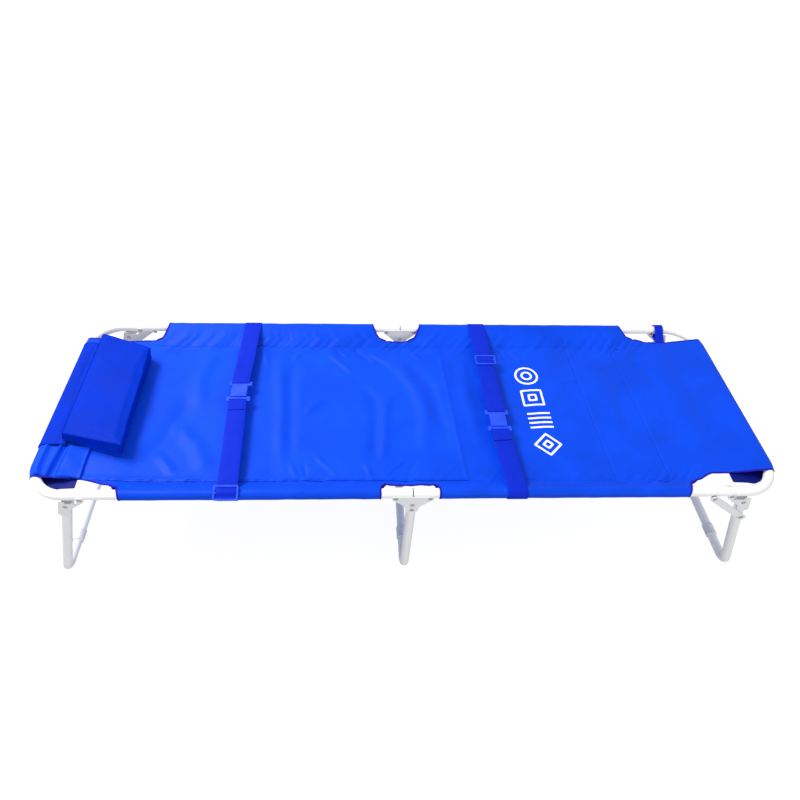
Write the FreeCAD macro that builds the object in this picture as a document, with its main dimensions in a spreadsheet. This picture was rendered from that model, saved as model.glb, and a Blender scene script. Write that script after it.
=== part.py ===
import FreeCAD, Part
import math
import os

import Sketcher

# A folding rescue stretcher in its open position: a two-part tubular top frame that breaks in
# the middle, a fixed middle leg, two folding end legs with hook braces, a fabric sheet sewn
# round the frame, a pillow and two buckled belts.
# +X points to the foot end, +Y to the far side, +Z up. The floor is Z = 0, and X = 0 is the
# plane where the two frame halves meet. Millimetres and degrees.

VECTOR = FreeCAD.Vector
UP = VECTOR(0, 0, 1)
Rule = Sketcher.Constraint
START, END, CENTRE = 1, 2, 3
ORIGIN = (-1, 1)
FOOT, HEAD = 1, -1
FAR, NEAR = 1, -1
HALVES = (("foot", FOOT), ("head", HEAD))
SIDES = (("near", NEAR), ("far", FAR))

DRIVING_SIZES = {
    # Top frame.
    "frame_length": 1900, "frame_width": 640, "rail_height": 392, "tube_dia": 25, "tube_wall": 1.2,
    "frame_bend": 87.5, "butt_half_gap": 1,
    "plug_flange": 1, "plug_depth": 15, "plug_slack": 0.1,
    # Middle hinge and middle leg; drops are measured down from the rail axis.
    "hinge_reach": 43, "hinge_drop": 4, "middle_leg_drop": 18, "floor_axis": 15, "leg_bend": 40,
    "upper_leg_rivet_drop": 32, "lower_leg_rivet_drop": 54,
    # End legs.
    "leg_pivot_reach": 848, "leg_pivot_drop": 30, "leg_splay": 17.5, "leg_length": 363.8,
    "leg_overrun": 9, "leg_plug_depth": 5, "bracket_rivet_reach": 806, "bracket_rivet_drop": 3,
    # Middle gussets: offsets from the rail axis, from the hinge rivets and from the leg's side.
    "gusset_rise": 3, "gusset_end": 8, "gusset_arm_drop": 8, "gusset_waist_drop": 40,
    "gusset_drop": 61, "gusset_margin": 3, "gusset_taper": 1.5, "gusset_fillet": 21.875,
    # End-leg brackets: the ear round its rivet, then places along and beside the leg.
    "ear_half": 9, "ear_rise": 6, "ear_drop": 17.5, "shoulder_drop": 10, "shoulder_along": -16,
    "cheek_start": 8, "cheek_end": 40, "cheek_inside": 13, "cheek_margin": 1,
    "stop_gap": 0.7, "stop_start": 14, "stop_end": 34, "loop_clear": 1,
    # Pressed plates and rivets.
    "plate_thick": 2, "plate_gap": 0.15, "plate_round": 4,
    "rivet_dia": 6, "rivet_head_dia": 12, "rivet_dome": 1.8, "hole_dia": 6.1,
    # Hook braces.
    "brace_length": 135.7, "brace_angle": 38.75, "brace_width": 20, "brace_tip": 14,
    "brace_stand_off": 4.2, "stud_reach": 66, "stud_dia": 7, "stud_hole_dia": 7.1,
    "stud_head_dia": 13, "notch_dia": 9, "notch_lean": 25, "washer_dia": 15,
    "brace_round": 9, "washer_gap": 0.05,
    # Foot pads on the crossbars.
    "pad_dia": 31, "pad_bore": 25.1, "pad_width": 35, "pad_spread": 199,
    # Fabric.
    "sleeve_outer": 14.3, "sleeve_inner": 13, "sleeve_seam": 250, "sleeve_lap": 16,
    "sleeve_slope": 0.134,
    "rail_sleeve_start": 72, "rail_sleeve_end": 705, "end_sleeve_seam": 828, "end_sleeve_half": 242,
    "fold_line": 59.5, "fold_gap": 0.5, "notch_half_width": 262, "sheet_drop": 1.5, "sheet_thick": 1.4,
    "panel_end": 840.8, "panel_inset": 2, "corner_start": 735, "corner_end": 778,
    "patch_thick": 0.7, "patch_gap": 0.1, "patch_half_width": 246, "patch_foot_edge": 130,
    "patch_head_edge": 820,
    # Pillow at the head end, its hanging flap and the folded strip beside it.
    "pillow_outer": 895, "pillow_inner": 735, "pillow_near": 190, "pillow_far": 225,
    "pillow_high": 45, "pillow_lift": 0.6, "pillow_round": 12,
    "flap_lift": 16.3, "flap_clear": 15.3, "flap_thick": 1.5, "flap_start_gap": 4, "flap_corner": 3,
    "flap_hang": 7.35, "flap_near": 167, "flap_far": 250,
    "strip_outer": 920, "strip_near": 242, "strip_far": 196, "strip_high": 8, "strip_round": 2.6,
    # Belts, their buckles and sliders.
    "web_width": 50, "web_inner": 14.7, "web_outer": 16.2, "web_gap": 0.3,
    "chest_belt_x": 465, "leg_belt_x": 246, "chest_buckle_y": 20, "leg_buckle_y": 87,
    "buckle_width": 44, "buckle_block": 42, "buckle_high": 11, "buckle_wall": 2.5,
    "bar_width": 64, "bar_depth": 5, "bar_high": 4, "yoke_depth": 15, "buckle_round": 2.5,
    "buckle_overlap": 1, "window_length": 14,
    "tongue_travel": 38, "prong_width": 7, "tongue_slack": 0.4, "guide_length": 30,
    "tab_length": 62, "tab_clear": 2,
    "slider_width": 61, "slider_depth": 38, "slider_high": 3, "slider_edge": 4.5, "slider_round": 5,
    "chest_slider_lean": 68, "chest_slider_x": 456, "leg_slider_x": 246, "leg_slider_y": 148,
    # Carry loop round the far rail at the foot end.
    "loop_inner": 13.2, "loop_outer": 14.7, "loop_start": 816, "loop_width": 27, "loop_seam": 262,
}


class Size:
    """A dimension: its number, and the spreadsheet expression that the number comes from."""

    def __init__(self, value, text):
        self.value = value
        self.text = text

    def __add__(self, other):
        other = as_size(other)
        return Size(self.value + other.value, f"({self.text} + {other.text})")

    def __sub__(self, other):
        other = as_size(other)
        return Size(self.value - other.value, f"({self.text} - {other.text})")

    def __mul__(self, other):
        other = as_size(other)
        return Size(self.value * other.value, f"({self.text} * {other.text})")

    def __truediv__(self, other):
        other = as_size(other)
        return Size(self.value / other.value, f"({self.text} / {other.text})")

    def __neg__(self):
        return Size(-self.value, f"(-1 * {self.text})")


def as_size(number):
    """A Size from a plain number; a Size stays as it is."""
    return number if isinstance(number, Size) else Size(float(number), repr(float(number)))


def sine(angle):
    return Size(math.sin(math.radians(angle.value)), f"sin({angle.text} * 1 deg)")


def cosine(angle):
    return Size(math.cos(math.radians(angle.value)), f"cos({angle.text} * 1 deg)")


class Sheet:
    """The spreadsheet of driving dimensions; each alias reads as a Size attribute."""

    def __init__(self, document, sizes):
        table = document.addObject("Spreadsheet::Sheet", "sizes")
        for row, (alias, value) in enumerate(sizes.items(), start=1):
            table.set(f"A{row}", alias)
            table.set(f"B{row}", str(value))
            table.setAlias(f"B{row}", alias)
            setattr(self, alias, Size(float(value), f"sizes.{alias}"))
        document.recompute()


DOC = FreeCAD.newDocument("folding_stretcher")
S = Sheet(DOC, DRIVING_SIZES)

RAIL_Y = (S.frame_width - S.tube_dia) / 2
END_TUBE_X = (S.frame_length - S.tube_dia) / 2
CHEEK_INNER = S.tube_dia / 2 + S.plate_gap
CHEEK_OUTER = CHEEK_INNER + S.plate_thick
SHEET_TOP = S.rail_height - S.sheet_drop + S.sheet_thick / 2
PATCH_TOP = SHEET_TOP + S.patch_gap + S.patch_thick
BELT_MIDDLE = S.rail_height + (S.web_inner + S.web_outer) / 2


# ---------------------------------------------------------------- drawing helpers

def bind(thing, path, size):
    """Tie a property of a document object to the spreadsheet."""
    thing.setExpression(path, as_size(size).text)


def new_body(label):
    body = DOC.addObject("PartDesign::Body", label)
    body.Label = label
    return body


def place(body, x=0, y=0, z=0, axis=None, angle=0):
    """Put a body in the stretcher's frame, turned by angle about axis."""
    where = [as_size(v) for v in (x, y, z)]
    turn = FreeCAD.Rotation(axis, as_size(angle).value) if axis else FreeCAD.Rotation()
    body.Placement = FreeCAD.Placement(VECTOR(*(v.value for v in where)), turn)
    for letter, size in zip("xyz", where):
        bind(body, f".Placement.Base.{letter}", size)
    if axis:
        bind(body, ".Placement.Rotation.Angle", angle)


def origin_plane(body, role):
    return next(item for item in body.Origin.OriginFeatures if item.Role == role)


def sketch(body, role, offset=0):
    """A sketch on one of the body's own origin planes, moved by offset along its normal."""
    flat = body.newObject("Sketcher::SketchObject", f"{body.Label}_sketch")
    flat.AttachmentSupport = (origin_plane(body, role), "")
    flat.MapMode = "FlatFace"
    bind(flat, ".AttachmentOffset.Base.z", offset)
    return flat


def measure(flat, rule, size):
    """Add one dimension to a sketch and tie it to the spreadsheet."""
    index = flat.addConstraint(rule)
    flat.setExpression(f"Constraints[{index}]", size.text)


def pin(flat, edge, point, x, y):
    """Fix a point of an edge at x, y from the sketch's origin."""
    measure(flat, Rule("DistanceX", *ORIGIN, edge, point, x.value), x)
    measure(flat, Rule("DistanceY", *ORIGIN, edge, point, y.value), y)


def outline(flat, corners):
    """A closed outline of straight edges through corners, each one pinned to its sizes."""
    corners = [(as_size(x), as_size(y)) for x, y in corners]
    points = [VECTOR(x.value, y.value, 0) for x, y in corners]
    first = flat.GeometryCount
    for start, end in zip(points, points[1:] + points[:1]):
        flat.addGeometry(Part.LineSegment(start, end), False)
    for step, (x, y) in enumerate(corners):
        before = first + (step - 1) % len(corners)
        flat.addConstraint(Rule("Coincident", before, END, first + step, START))
        pin(flat, first + step, START, x, y)


def rectangle(flat, x_low, x_high, y_low, y_high):
    outline(flat, [(x_low, y_low), (x_high, y_low), (x_high, y_high), (x_low, y_high)])


def circle(flat, x, y, diameter):
    x, y = as_size(x), as_size(y)
    edge = flat.addGeometry(Part.Circle(VECTOR(x.value, y.value, 0), UP, diameter.value / 2), False)
    pin(flat, edge, CENTRE, x, y)
    measure(flat, Rule("Diameter", edge, diameter.value), diameter)


def teardrop(flat, centre, radius, tip, level):
    """A closed drop shape: an arc round centre, and two tangent lines that meet at tip."""
    side = math.copysign(1, centre.value - tip.value)
    reach = abs(centre.value - tip.value)
    lean = math.acos(radius.value / reach)
    first = flat.GeometryCount
    facing = math.pi if side > 0 else 0
    upper = facing - side * lean
    lower = facing + side * lean
    middle = VECTOR(centre.value, level.value, 0)

    def rim(angle):
        return middle + VECTOR(math.cos(angle), math.sin(angle), 0) * radius.value

    point = VECTOR(tip.value, level.value, 0)
    begin, finish = (lower, upper) if side > 0 else (upper, lower)
    flat.addGeometry(Part.LineSegment(point, rim(begin)), False)
    flat.addGeometry(Part.ArcOfCircle(Part.Circle(middle, UP, radius.value), begin, finish), False)
    flat.addGeometry(Part.LineSegment(rim(finish), point), False)
    flat.addConstraint([
        Rule("Tangent", first, END, first + 1, START),
        Rule("Tangent", first + 1, END, first + 2, START),
        Rule("Coincident", first + 2, END, first, START),
    ])
    pin(flat, first, START, tip, level)
    pin(flat, first + 1, CENTRE, centre, level)
    measure(flat, Rule("Radius", first + 1, radius.value), radius)


def pad(body, flat, length, both_ways=False):
    """Extrude a sketch along its normal, or half each way."""
    solid = body.newObject("PartDesign::Pad", f"{body.Label}_pad")
    solid.Profile = flat
    solid.Midplane = both_ways
    bind(solid, "Length", length)
    DOC.recompute()
    return solid


def cut(body, flat, both_ways=True, along_normal=False):
    """Cut a sketch right through the body, and make sure that it removes something."""
    before = body.Shape.Volume
    tool = body.newObject("PartDesign::Pocket", f"{body.Label}_pocket")
    tool.Profile = flat
    tool.Type = "ThroughAll"
    tool.Midplane = both_ways
    tool.Reversed = along_normal
    DOC.recompute()
    if body.Shape.Volume > before - 1e-6:
        raise RuntimeError(f"{body.Label}: a cut removed nothing")


def round_edges(body, radius, chosen):
    """Fillet the edges of a body that chosen picks."""
    edges = [f"Edge{n}" for n, edge in enumerate(body.Shape.Edges, start=1) if chosen(edge)]
    if not edges:
        raise RuntimeError(f"{body.Label}: no edge to round")
    base = body.Tip
    fillet = body.newObject("PartDesign::Fillet", f"{body.Label}_fillet")
    fillet.Base = (base, edges)
    bind(fillet, "Radius", radius)
    DOC.recompute()


def runs_along(direction):
    """Picks the straight edges that are parallel to a direction."""
    def chosen(edge):
        return edge.Curve.TypeId == "Part::GeomLine" and abs(edge.Curve.Direction.dot(direction)) > 0.999
    return chosen


def stands_at(corners):
    """Picks the edges along Y that stand at the given x, z corners."""
    def chosen(edge):
        middle = edge.CenterOfMass
        return runs_along(VECTOR(0, 1, 0))(edge) and any(
            math.hypot(middle.x - x.value, middle.z - z.value) < 0.05 for x, z in corners)
    return chosen


# ---------------------------------------------------------------- places on the frame

def beyond(size, half):
    """A distance from the middle towards the foot (+) or head (-) end."""
    return size * half


def leg_point(half, along, aside=0):
    """x and z of a point measured from an end leg's pivot: down the leg, and outward from it."""
    along, aside = as_size(along), as_size(aside)
    x = S.leg_pivot_reach + along * sine(S.leg_splay) + aside * cosine(S.leg_splay)
    z = S.rail_height - S.leg_pivot_drop - along * cosine(S.leg_splay) + aside * sine(S.leg_splay)
    return beyond(x, half), z


def brace_pivot(half):
    """x and z of the rail rivet that a brace swings on."""
    stud_x, stud_z = leg_point(FOOT, S.stud_reach)
    x = stud_x - S.brace_length * cosine(S.brace_angle)
    z = stud_z + S.brace_length * sine(S.brace_angle)
    return beyond(x, half), z


def brace_side(half):
    """The foot brace hangs on the near rail and the head brace on the far rail."""
    return NEAR if half == FOOT else FAR


# ---------------------------------------------------------------- tubes

def u_tube(label, opening, reach, bend):
    """A bent tube that opens upward: two arms at the rails' spacing, joined by a crossbar."""
    body = new_body(label)
    arm, top, foot, radius = RAIL_Y.value, opening.value, -reach.value, bend.value
    spine = sketch(body, "YZ_Plane")
    quarter = math.pi / 2
    spine.addGeometry([
        Part.LineSegment(VECTOR(-arm, top, 0), VECTOR(-arm, foot + radius, 0)),
        Part.ArcOfCircle(Part.Circle(VECTOR(radius - arm, foot + radius, 0), UP, radius),
                         2 * quarter, 3 * quarter),
        Part.LineSegment(VECTOR(radius - arm, foot, 0), VECTOR(arm - radius, foot, 0)),
        Part.ArcOfCircle(Part.Circle(VECTOR(arm - radius, foot + radius, 0), UP, radius),
                         3 * quarter, 4 * quarter),
        Part.LineSegment(VECTOR(arm, foot + radius, 0), VECTOR(arm, top, 0)),
    ], False)
    spine.addConstraint([Rule("Tangent", edge, END, edge + 1, START) for edge in range(4)])
    spine.addConstraint([Rule("Vertical", 0), Rule("Vertical", 4), Rule("Horizontal", 2),
                         Rule("Equal", 1, 3)])
    pin(spine, 0, START, -RAIL_Y, opening)
    pin(spine, 4, END, RAIL_Y, opening)
    measure(spine, Rule("Radius", 1, radius), bend)
    measure(spine, Rule("DistanceY", *ORIGIN, 2, START, foot), -reach)
    ring = sketch(body, "XY_Plane", opening)
    circle(ring, 0, -RAIL_Y, S.tube_dia)
    circle(ring, 0, -RAIL_Y, S.tube_dia - S.tube_wall * 2)
    DOC.recompute()
    pipe = body.newObject("PartDesign::AdditivePipe", f"{label}_pipe")
    pipe.Profile = ring
    pipe.Spine = spine
    DOC.recompute()
    return body


def drill(body, spots, diameter, side=None):
    """Rivet holes across both arms, or across one side's arm only; spots are local x, z."""
    holes = sketch(body, "XZ_Plane")
    for x, z in spots:
        circle(holes, x, z, diameter)
    cut(body, holes, both_ways=side is None, along_normal=side == NEAR)


def frame_tube(name, half):
    """One half of the top frame: two rails and the end tube."""
    body = u_tube(f"{name}_frame_tube", -(S.butt_half_gap + S.plug_flange), END_TUBE_X, S.frame_bend)
    drill(body, [(-S.hinge_drop * half, -S.hinge_reach),
                 (-S.bracket_rivet_drop * half, -S.bracket_rivet_reach)], S.hole_dia)
    pivot_x, pivot_z = brace_pivot(FOOT)
    drill(body, [((pivot_z - S.rail_height) * half, -pivot_x)], S.hole_dia, brace_side(half))
    place(body, z=S.rail_height, axis=VECTOR(0, 1, 0), angle=as_size(-90 * half))


def end_leg(name, half):
    """A folding end leg, built upright about its pivot and leaned outward."""
    body = u_tube(f"{name}_leg_tube", S.leg_overrun, S.leg_length, S.leg_bend)
    drill(body, [(as_size(0), as_size(0))], S.hole_dia)
    drill(body, [(as_size(0), -S.stud_reach)], S.stud_hole_dia, brace_side(half))
    stand_on_pivot(body, half)


def middle_leg():
    body = u_tube("middle_leg_tube", -S.middle_leg_drop, S.rail_height - S.floor_axis, S.leg_bend)
    drill(body, [(as_size(0), -S.upper_leg_rivet_drop), (as_size(0), -S.lower_leg_rivet_drop)],
          S.hole_dia)
    place(body, z=S.rail_height)


def rail_plugs(name, half):
    """Plastic plugs that close the two rail ends at the butt joint."""
    body = new_body(f"{name}_rail_plugs")
    start = S.butt_half_gap
    bore = S.tube_dia - S.tube_wall * 2 - S.plug_slack * 2
    for depth, diameter in ((S.plug_flange, S.tube_dia), (S.plug_depth, bore)):
        face = sketch(body, "YZ_Plane", beyond(start, half))
        for _, side in SIDES:
            circle(face, RAIL_Y * side, S.rail_height, diameter)
        solid = pad(body, face, depth)
        solid.Reversed = half == HEAD
        DOC.recompute()


def leg_plugs(name, half):
    """Plastic plugs that close the two top ends of an end leg."""
    body = new_body(f"{name}_leg_plugs")
    bore = S.tube_dia - S.tube_wall * 2 - S.plug_slack * 2
    for depth, diameter, downward in ((S.plug_flange, S.tube_dia, False),
                                      (S.leg_plug_depth, bore, True)):
        face = sketch(body, "XY_Plane", S.leg_overrun)
        for _, side in SIDES:
            circle(face, 0, RAIL_Y * side, diameter)
        pad(body, face, depth).Reversed = downward
        DOC.recompute()
    stand_on_pivot(body, half)


def stand_on_pivot(body, half):
    """Place a body that was built upright about an end leg's pivot, and lean it outward."""
    place(body, x=beyond(S.leg_pivot_reach, half), z=S.rail_height - S.leg_pivot_drop,
          axis=VECTOR(0, 1, 0), angle=S.leg_splay * -half)


def floor_pads(label, x, axis_height):
    """Two plastic sleeves on a crossbar, each with a flat underside on the floor."""
    body = new_body(label)
    for _, side in SIDES:
        face = sketch(body, "XZ_Plane", -S.pad_spread * side + S.pad_width / 2)
        circle(face, 0, 0, S.pad_dia)
        circle(face, 0, 0, S.pad_bore)
        pad(body, face, S.pad_width).Reversed = True
        DOC.recompute()
    below = sketch(body, "XZ_Plane")
    rectangle(below, -S.pad_dia, S.pad_dia, -S.pad_dia, -axis_height)
    cut(body, below)
    place(body, x=x, z=axis_height)


# ---------------------------------------------------------------- plates and rivets

def cheek(body, corners, y_low):
    """One flat cheek plate in an XZ plane, from y_low towards +Y."""
    face = sketch(body, "XZ_Plane", -(y_low + S.plate_thick))
    outline(face, corners)
    pad(body, face, S.plate_thick)


def cheek_low(side, outer):
    """The lower Y face of a cheek: outside or inside the rail on the near or far side."""
    if (side == FAR) == outer:
        return RAIL_Y * side + CHEEK_INNER
    return RAIL_Y * side - CHEEK_OUTER


def middle_plate(side_name, side, outer):
    """A T-shaped gusset: hinge rivets in its arms, the middle leg riveted to its stem."""
    arm, stem = S.hinge_reach + S.gusset_end, S.tube_dia / 2 + S.gusset_margin
    right = [(arm, S.rail_height + S.gusset_rise), (arm, S.rail_height - S.gusset_arm_drop),
             (stem + S.gusset_taper, S.rail_height - S.gusset_waist_drop),
             (stem, S.rail_height - S.gusset_drop)]
    left = [(-x, z) for x, z in reversed(right)]
    body = new_body(f"middle_plate_{side_name}_{'outer' if outer else 'inner'}")
    cheek(body, right + left, cheek_low(side, outer))
    round_edges(body, S.plate_round, stands_at(right[:2] + left[2:] + [right[3], left[0]]))
    round_edges(body, S.gusset_fillet, stands_at([right[2], left[1]]))
    holes = sketch(body, "XZ_Plane")
    for reach in (S.hinge_reach, -S.hinge_reach):
        circle(holes, reach, S.rail_height - S.hinge_drop, S.hole_dia)
    for drop in (S.upper_leg_rivet_drop, S.lower_leg_rivet_drop):
        circle(holes, 0, S.rail_height - drop, S.hole_dia)
    cut(body, holes)


def bracket_corners(half, rim):
    """x and z of a bracket cheek's corners, from the ear down the leg and back."""
    ear, loop_edge = S.bracket_rivet_reach, S.loop_start + S.loop_width + S.loop_clear
    shoulder_x, _ = leg_point(FOOT, S.shoulder_along, rim)
    top, ear_low = S.rail_height + S.ear_rise, S.rail_height - S.ear_drop
    shoulder = S.rail_height - S.shoulder_drop
    corners = [(ear - S.ear_half, top), (ear + S.ear_half, top), (ear + S.ear_half, ear_low),
               (loop_edge, ear_low), (loop_edge, shoulder), (shoulder_x, shoulder),
               leg_point(FOOT, S.cheek_end, rim), leg_point(FOOT, S.cheek_end, -S.cheek_inside),
               leg_point(FOOT, S.cheek_start, -S.cheek_inside), (ear - S.ear_half, shoulder)]
    return [(beyond(x, half), z) for x, z in corners]


def leg_bracket(name, half, side_name, side):
    """A pressed channel: an ear riveted to the rail, cheeks round the leg and a stop web."""
    stop_inner = S.tube_dia / 2 + S.stop_gap
    stop_outer = stop_inner + S.plate_thick
    body = new_body(f"{name}_leg_bracket_{side_name}")
    corners = bracket_corners(half, stop_outer + S.cheek_margin)
    for outer in (True, False):
        cheek(body, corners, cheek_low(side, outer))
        if outer:
            web = sketch(body, "XZ_Plane", -RAIL_Y * side)
            outline(web, [leg_point(half, along, aside) for along, aside in
                          ((S.stop_start, stop_inner), (S.stop_start, stop_outer),
                           (S.stop_end, stop_outer), (S.stop_end, stop_inner))])
            pad(body, web, CHEEK_OUTER * 2, both_ways=True)
    rounded = [corners[n] for n in (0, 1, 6, 7, 9)]
    round_edges(body, S.plate_round, stands_at(rounded))
    holes = sketch(body, "XZ_Plane")
    circle(holes, beyond(S.bracket_rivet_reach, half), S.rail_height - S.bracket_rivet_drop, S.hole_dia)
    circle(holes, *leg_point(half, 0), S.hole_dia)
    cut(body, holes)


def rivet(body, x, z, low, high, shank, head):
    """A domed rivet along Y at x, z that grips from low to high."""
    x, z, low, high = (as_size(v) for v in (x, z, low, high))
    rim = x + head / 2
    flat = sketch(body, "XY_Plane", z)
    ball = (head.value ** 2 / 4 + S.rivet_dome.value ** 2) / (2 * S.rivet_dome.value)
    corners = [(x, low - S.rivet_dome), (rim, low), (x + shank / 2, low), (x + shank / 2, high),
               (rim, high), (x, high + S.rivet_dome)]
    points = [VECTOR(a.value, b.value, 0) for a, b in corners]

    def dome(centre_y, start, end):
        middle = VECTOR(x.value, centre_y, 0)
        angles = [math.atan2(p.y - middle.y, p.x - middle.x) for p in (start, end)]
        return Part.ArcOfCircle(Part.Circle(middle, UP, ball), *angles)

    flat.addGeometry([
        dome(points[0].y + ball, points[0], points[1]),
        Part.LineSegment(points[1], points[2]), Part.LineSegment(points[2], points[3]),
        Part.LineSegment(points[3], points[4]),
        dome(points[5].y - ball, points[4], points[5]),
        Part.LineSegment(points[5], points[0]),
    ], False)
    axis = flat.addGeometry(Part.LineSegment(points[0], points[5]), True)
    for step, (a, b) in enumerate(corners):
        flat.addConstraint(Rule("Coincident", (step - 1) % len(corners), END, step, START))
        pin(flat, step, START, a, b)
    flat.addConstraint([Rule("PointOnObject", 0, CENTRE, 5), Rule("PointOnObject", 4, CENTRE, 5),
                        Rule("Coincident", axis, START, 0, START), Rule("Coincident", axis, END, 5, START)])
    turned = body.newObject("PartDesign::Revolution", f"{body.Label}_turned")
    turned.Profile = flat
    turned.ReferenceAxis = (flat, ["Axis0"])
    turned.Angle = 360
    DOC.recompute()


def plate_rivets(label, spots):
    """Equal rivets through both cheeks, at each x, z spot of the near and the far rail."""
    body = new_body(label)
    for x, z in spots:
        for _, side in SIDES:
            rivet(body, x, z, RAIL_Y * side - CHEEK_OUTER, RAIL_Y * side + CHEEK_OUTER,
                  S.rivet_dia, S.rivet_head_dia)


def side_span(side, inner, outer):
    """Low and high Y of something that reaches from inner to outer beyond a rail's axis."""
    ends = (RAIL_Y + inner) * side, (RAIL_Y + outer) * side
    return ends if side == FAR else ends[::-1]


def brace(name, half):
    """A flat strut that swings on the rail and hooks over a stud on the leg."""
    side = brace_side(half)
    body = new_body(f"{name}_brace")
    offset = RAIL_Y + S.tube_dia / 2 + S.brace_stand_off
    low = offset if side == FAR else -(offset + S.plate_thick)
    tail, tip, edge = -S.brace_width / 2, S.brace_length + S.brace_tip, S.brace_width / 2
    ends = [(beyond(tail, half), -edge), (beyond(tip, half), -edge),
            (beyond(tip, half), edge), (beyond(tail, half), edge)]
    cheek(body, ends, low)
    round_edges(body, S.brace_round, stands_at(ends))
    holes = sketch(body, "XZ_Plane")
    circle(holes, 0, 0, S.hole_dia)
    circle(holes, beyond(S.brace_length, half), 0, S.notch_dia)
    cut(body, holes)
    mouth = sketch(body, "XZ_Plane")
    lean_x, lean_z = -sine(S.notch_lean), -cosine(S.notch_lean)
    across = S.notch_dia / 2
    seat = [(S.brace_length - lean_z * across, lean_x * across),
            (S.brace_length + lean_z * across, -lean_x * across)]
    far_end = [(x + lean_x * S.brace_width, z + lean_z * S.brace_width) for x, z in seat]
    outline(mouth, [(beyond(x, half), z) for x, z in (seat[0], seat[1], far_end[1], far_end[0])])
    cut(body, mouth)
    pivot_x, pivot_z = brace_pivot(half)
    place(body, x=pivot_x, z=pivot_z, axis=VECTOR(0, 1, 0), angle=S.brace_angle * half)


def brace_fittings(name, half):
    """The brace's rail rivet, the washer behind it and the stud that it hooks on."""
    side = brace_side(half)
    pivot_x, pivot_z = brace_pivot(half)
    outside = S.tube_dia / 2 + S.brace_stand_off + S.plate_thick + S.plate_gap
    span = side_span(side, -S.tube_dia / 2, outside)
    rivet(new_body(f"{name}_brace_rivet"), pivot_x, pivot_z, *span, S.rivet_dia, S.rivet_head_dia)
    stud_x, stud_z = leg_point(half, S.stud_reach)
    rivet(new_body(f"{name}_leg_stud"), stud_x, stud_z, *span, S.stud_dia, S.stud_head_dia)
    washer = new_body(f"{name}_brace_washer")
    low, high = side_span(side, S.tube_dia / 2 + S.washer_gap,
                          S.tube_dia / 2 + S.brace_stand_off - S.washer_gap)
    face = sketch(washer, "XZ_Plane", -high)
    circle(face, pivot_x, pivot_z, S.washer_dia)
    circle(face, pivot_x, pivot_z, S.hole_dia)
    pad(washer, face, high - low)


# ---------------------------------------------------------------- fabric

def sheet_half(name, half):
    """Half of the sheet: a flat panel, a sleeve round each rail and one round the end tube."""
    body = new_body(f"sheet_{name}")
    panel = sketch(body, "XY_Plane", S.rail_height - S.sheet_drop)
    wide, narrow = S.notch_half_width, S.end_sleeve_half - S.panel_inset
    near = [(S.fold_line + S.fold_gap, -wide), (S.corner_start, -wide), (S.corner_end, -narrow),
            (S.panel_end, -narrow)]
    outline(panel, [(beyond(x, half), y) for x, y in near + [(x, -y) for x, y in reversed(near)]])
    pad(body, panel, S.sheet_thick, both_ways=True)
    rails = sketch(body, "YZ_Plane", beyond(S.rail_sleeve_start, half))
    for _, side in SIDES:
        sleeve_rings(rails, RAIL_Y * side, S.sleeve_seam * side, side)
    sleeves = pad(body, rails, S.rail_sleeve_end - S.rail_sleeve_start)
    sleeves.Reversed = half == HEAD
    DOC.recompute()
    across = sketch(body, "XZ_Plane")
    sleeve_rings(across, beyond(END_TUBE_X, half), beyond(S.end_sleeve_seam, half), half)
    pad(body, across, S.end_sleeve_half * 2, both_ways=True)


def sleeve_rings(flat, centre, seam, side):
    """The cut through a sleeve: fabric between an outer and an inner drop shape."""
    teardrop(flat, centre, S.sleeve_outer, seam, S.rail_height)
    teardrop(flat, centre, S.sleeve_inner, seam + S.sleeve_lap * side, S.rail_height)


def layer(label, x_low, x_high, half_width, z_low, thick):
    """A flat fabric panel."""
    body = new_body(label)
    face = sketch(body, "XY_Plane", z_low)
    rectangle(face, x_low, x_high, -half_width, half_width)
    pad(body, face, thick)


def sheet_layers():
    """The sheet's middle panel, and the second layer sewn on from the head end past the middle."""
    low = S.rail_height - S.sheet_drop - S.sheet_thick / 2
    fold, clear = S.fold_line - S.fold_gap, S.fold_line + S.fold_gap
    layer("sheet_middle", -fold, fold, S.notch_half_width, low, S.sheet_thick)
    above = SHEET_TOP + S.patch_gap
    for name, start, end in (("head", -S.patch_head_edge, -clear), ("middle", -fold, fold),
                             ("foot", clear, S.patch_foot_edge)):
        layer(f"patch_{name}", start, end, S.patch_half_width, above, S.patch_thick)


def sleeve_rise(reach):
    """Height above the seam of the end sleeve's top, at a distance from the stretcher's middle."""
    return (reach - S.end_sleeve_seam) * S.sleeve_slope


def head_cushion(label, corners, near, far, rounding):
    """A soft body at the head end with the given cut along X and Z, from near to far in Y."""
    body = new_body(label)
    face = sketch(body, "XZ_Plane", -far)
    outline(face, corners)
    pad(body, face, far + near)
    round_edges(body, rounding, stands_at(corners[-2:]))


def pillow():
    """The pillow: flat on the sheet, and lifted at its outer edge by the end sleeve."""
    low = PATCH_TOP + S.pillow_lift
    top = low + S.pillow_high
    head_cushion("pillow", [(-S.pillow_inner, low), (-S.end_sleeve_seam, low),
                            (-S.pillow_outer, low + sleeve_rise(S.pillow_outer)),
                            (-S.pillow_outer, top), (-S.pillow_inner, top)],
                 S.pillow_near, S.pillow_far, S.pillow_round)


def head_strip():
    """Folded fabric that lies on the end sleeve beside the pillow."""
    low = PATCH_TOP + S.pillow_lift
    rise = sleeve_rise(S.strip_outer)
    head_cushion("head_strip", [(-S.end_sleeve_seam, low), (-S.strip_outer, low + rise),
                                (-S.strip_outer, low + rise + S.strip_high),
                                (-S.end_sleeve_seam, low + S.strip_high)],
                 S.strip_near, -S.strip_far, S.strip_round)


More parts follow.
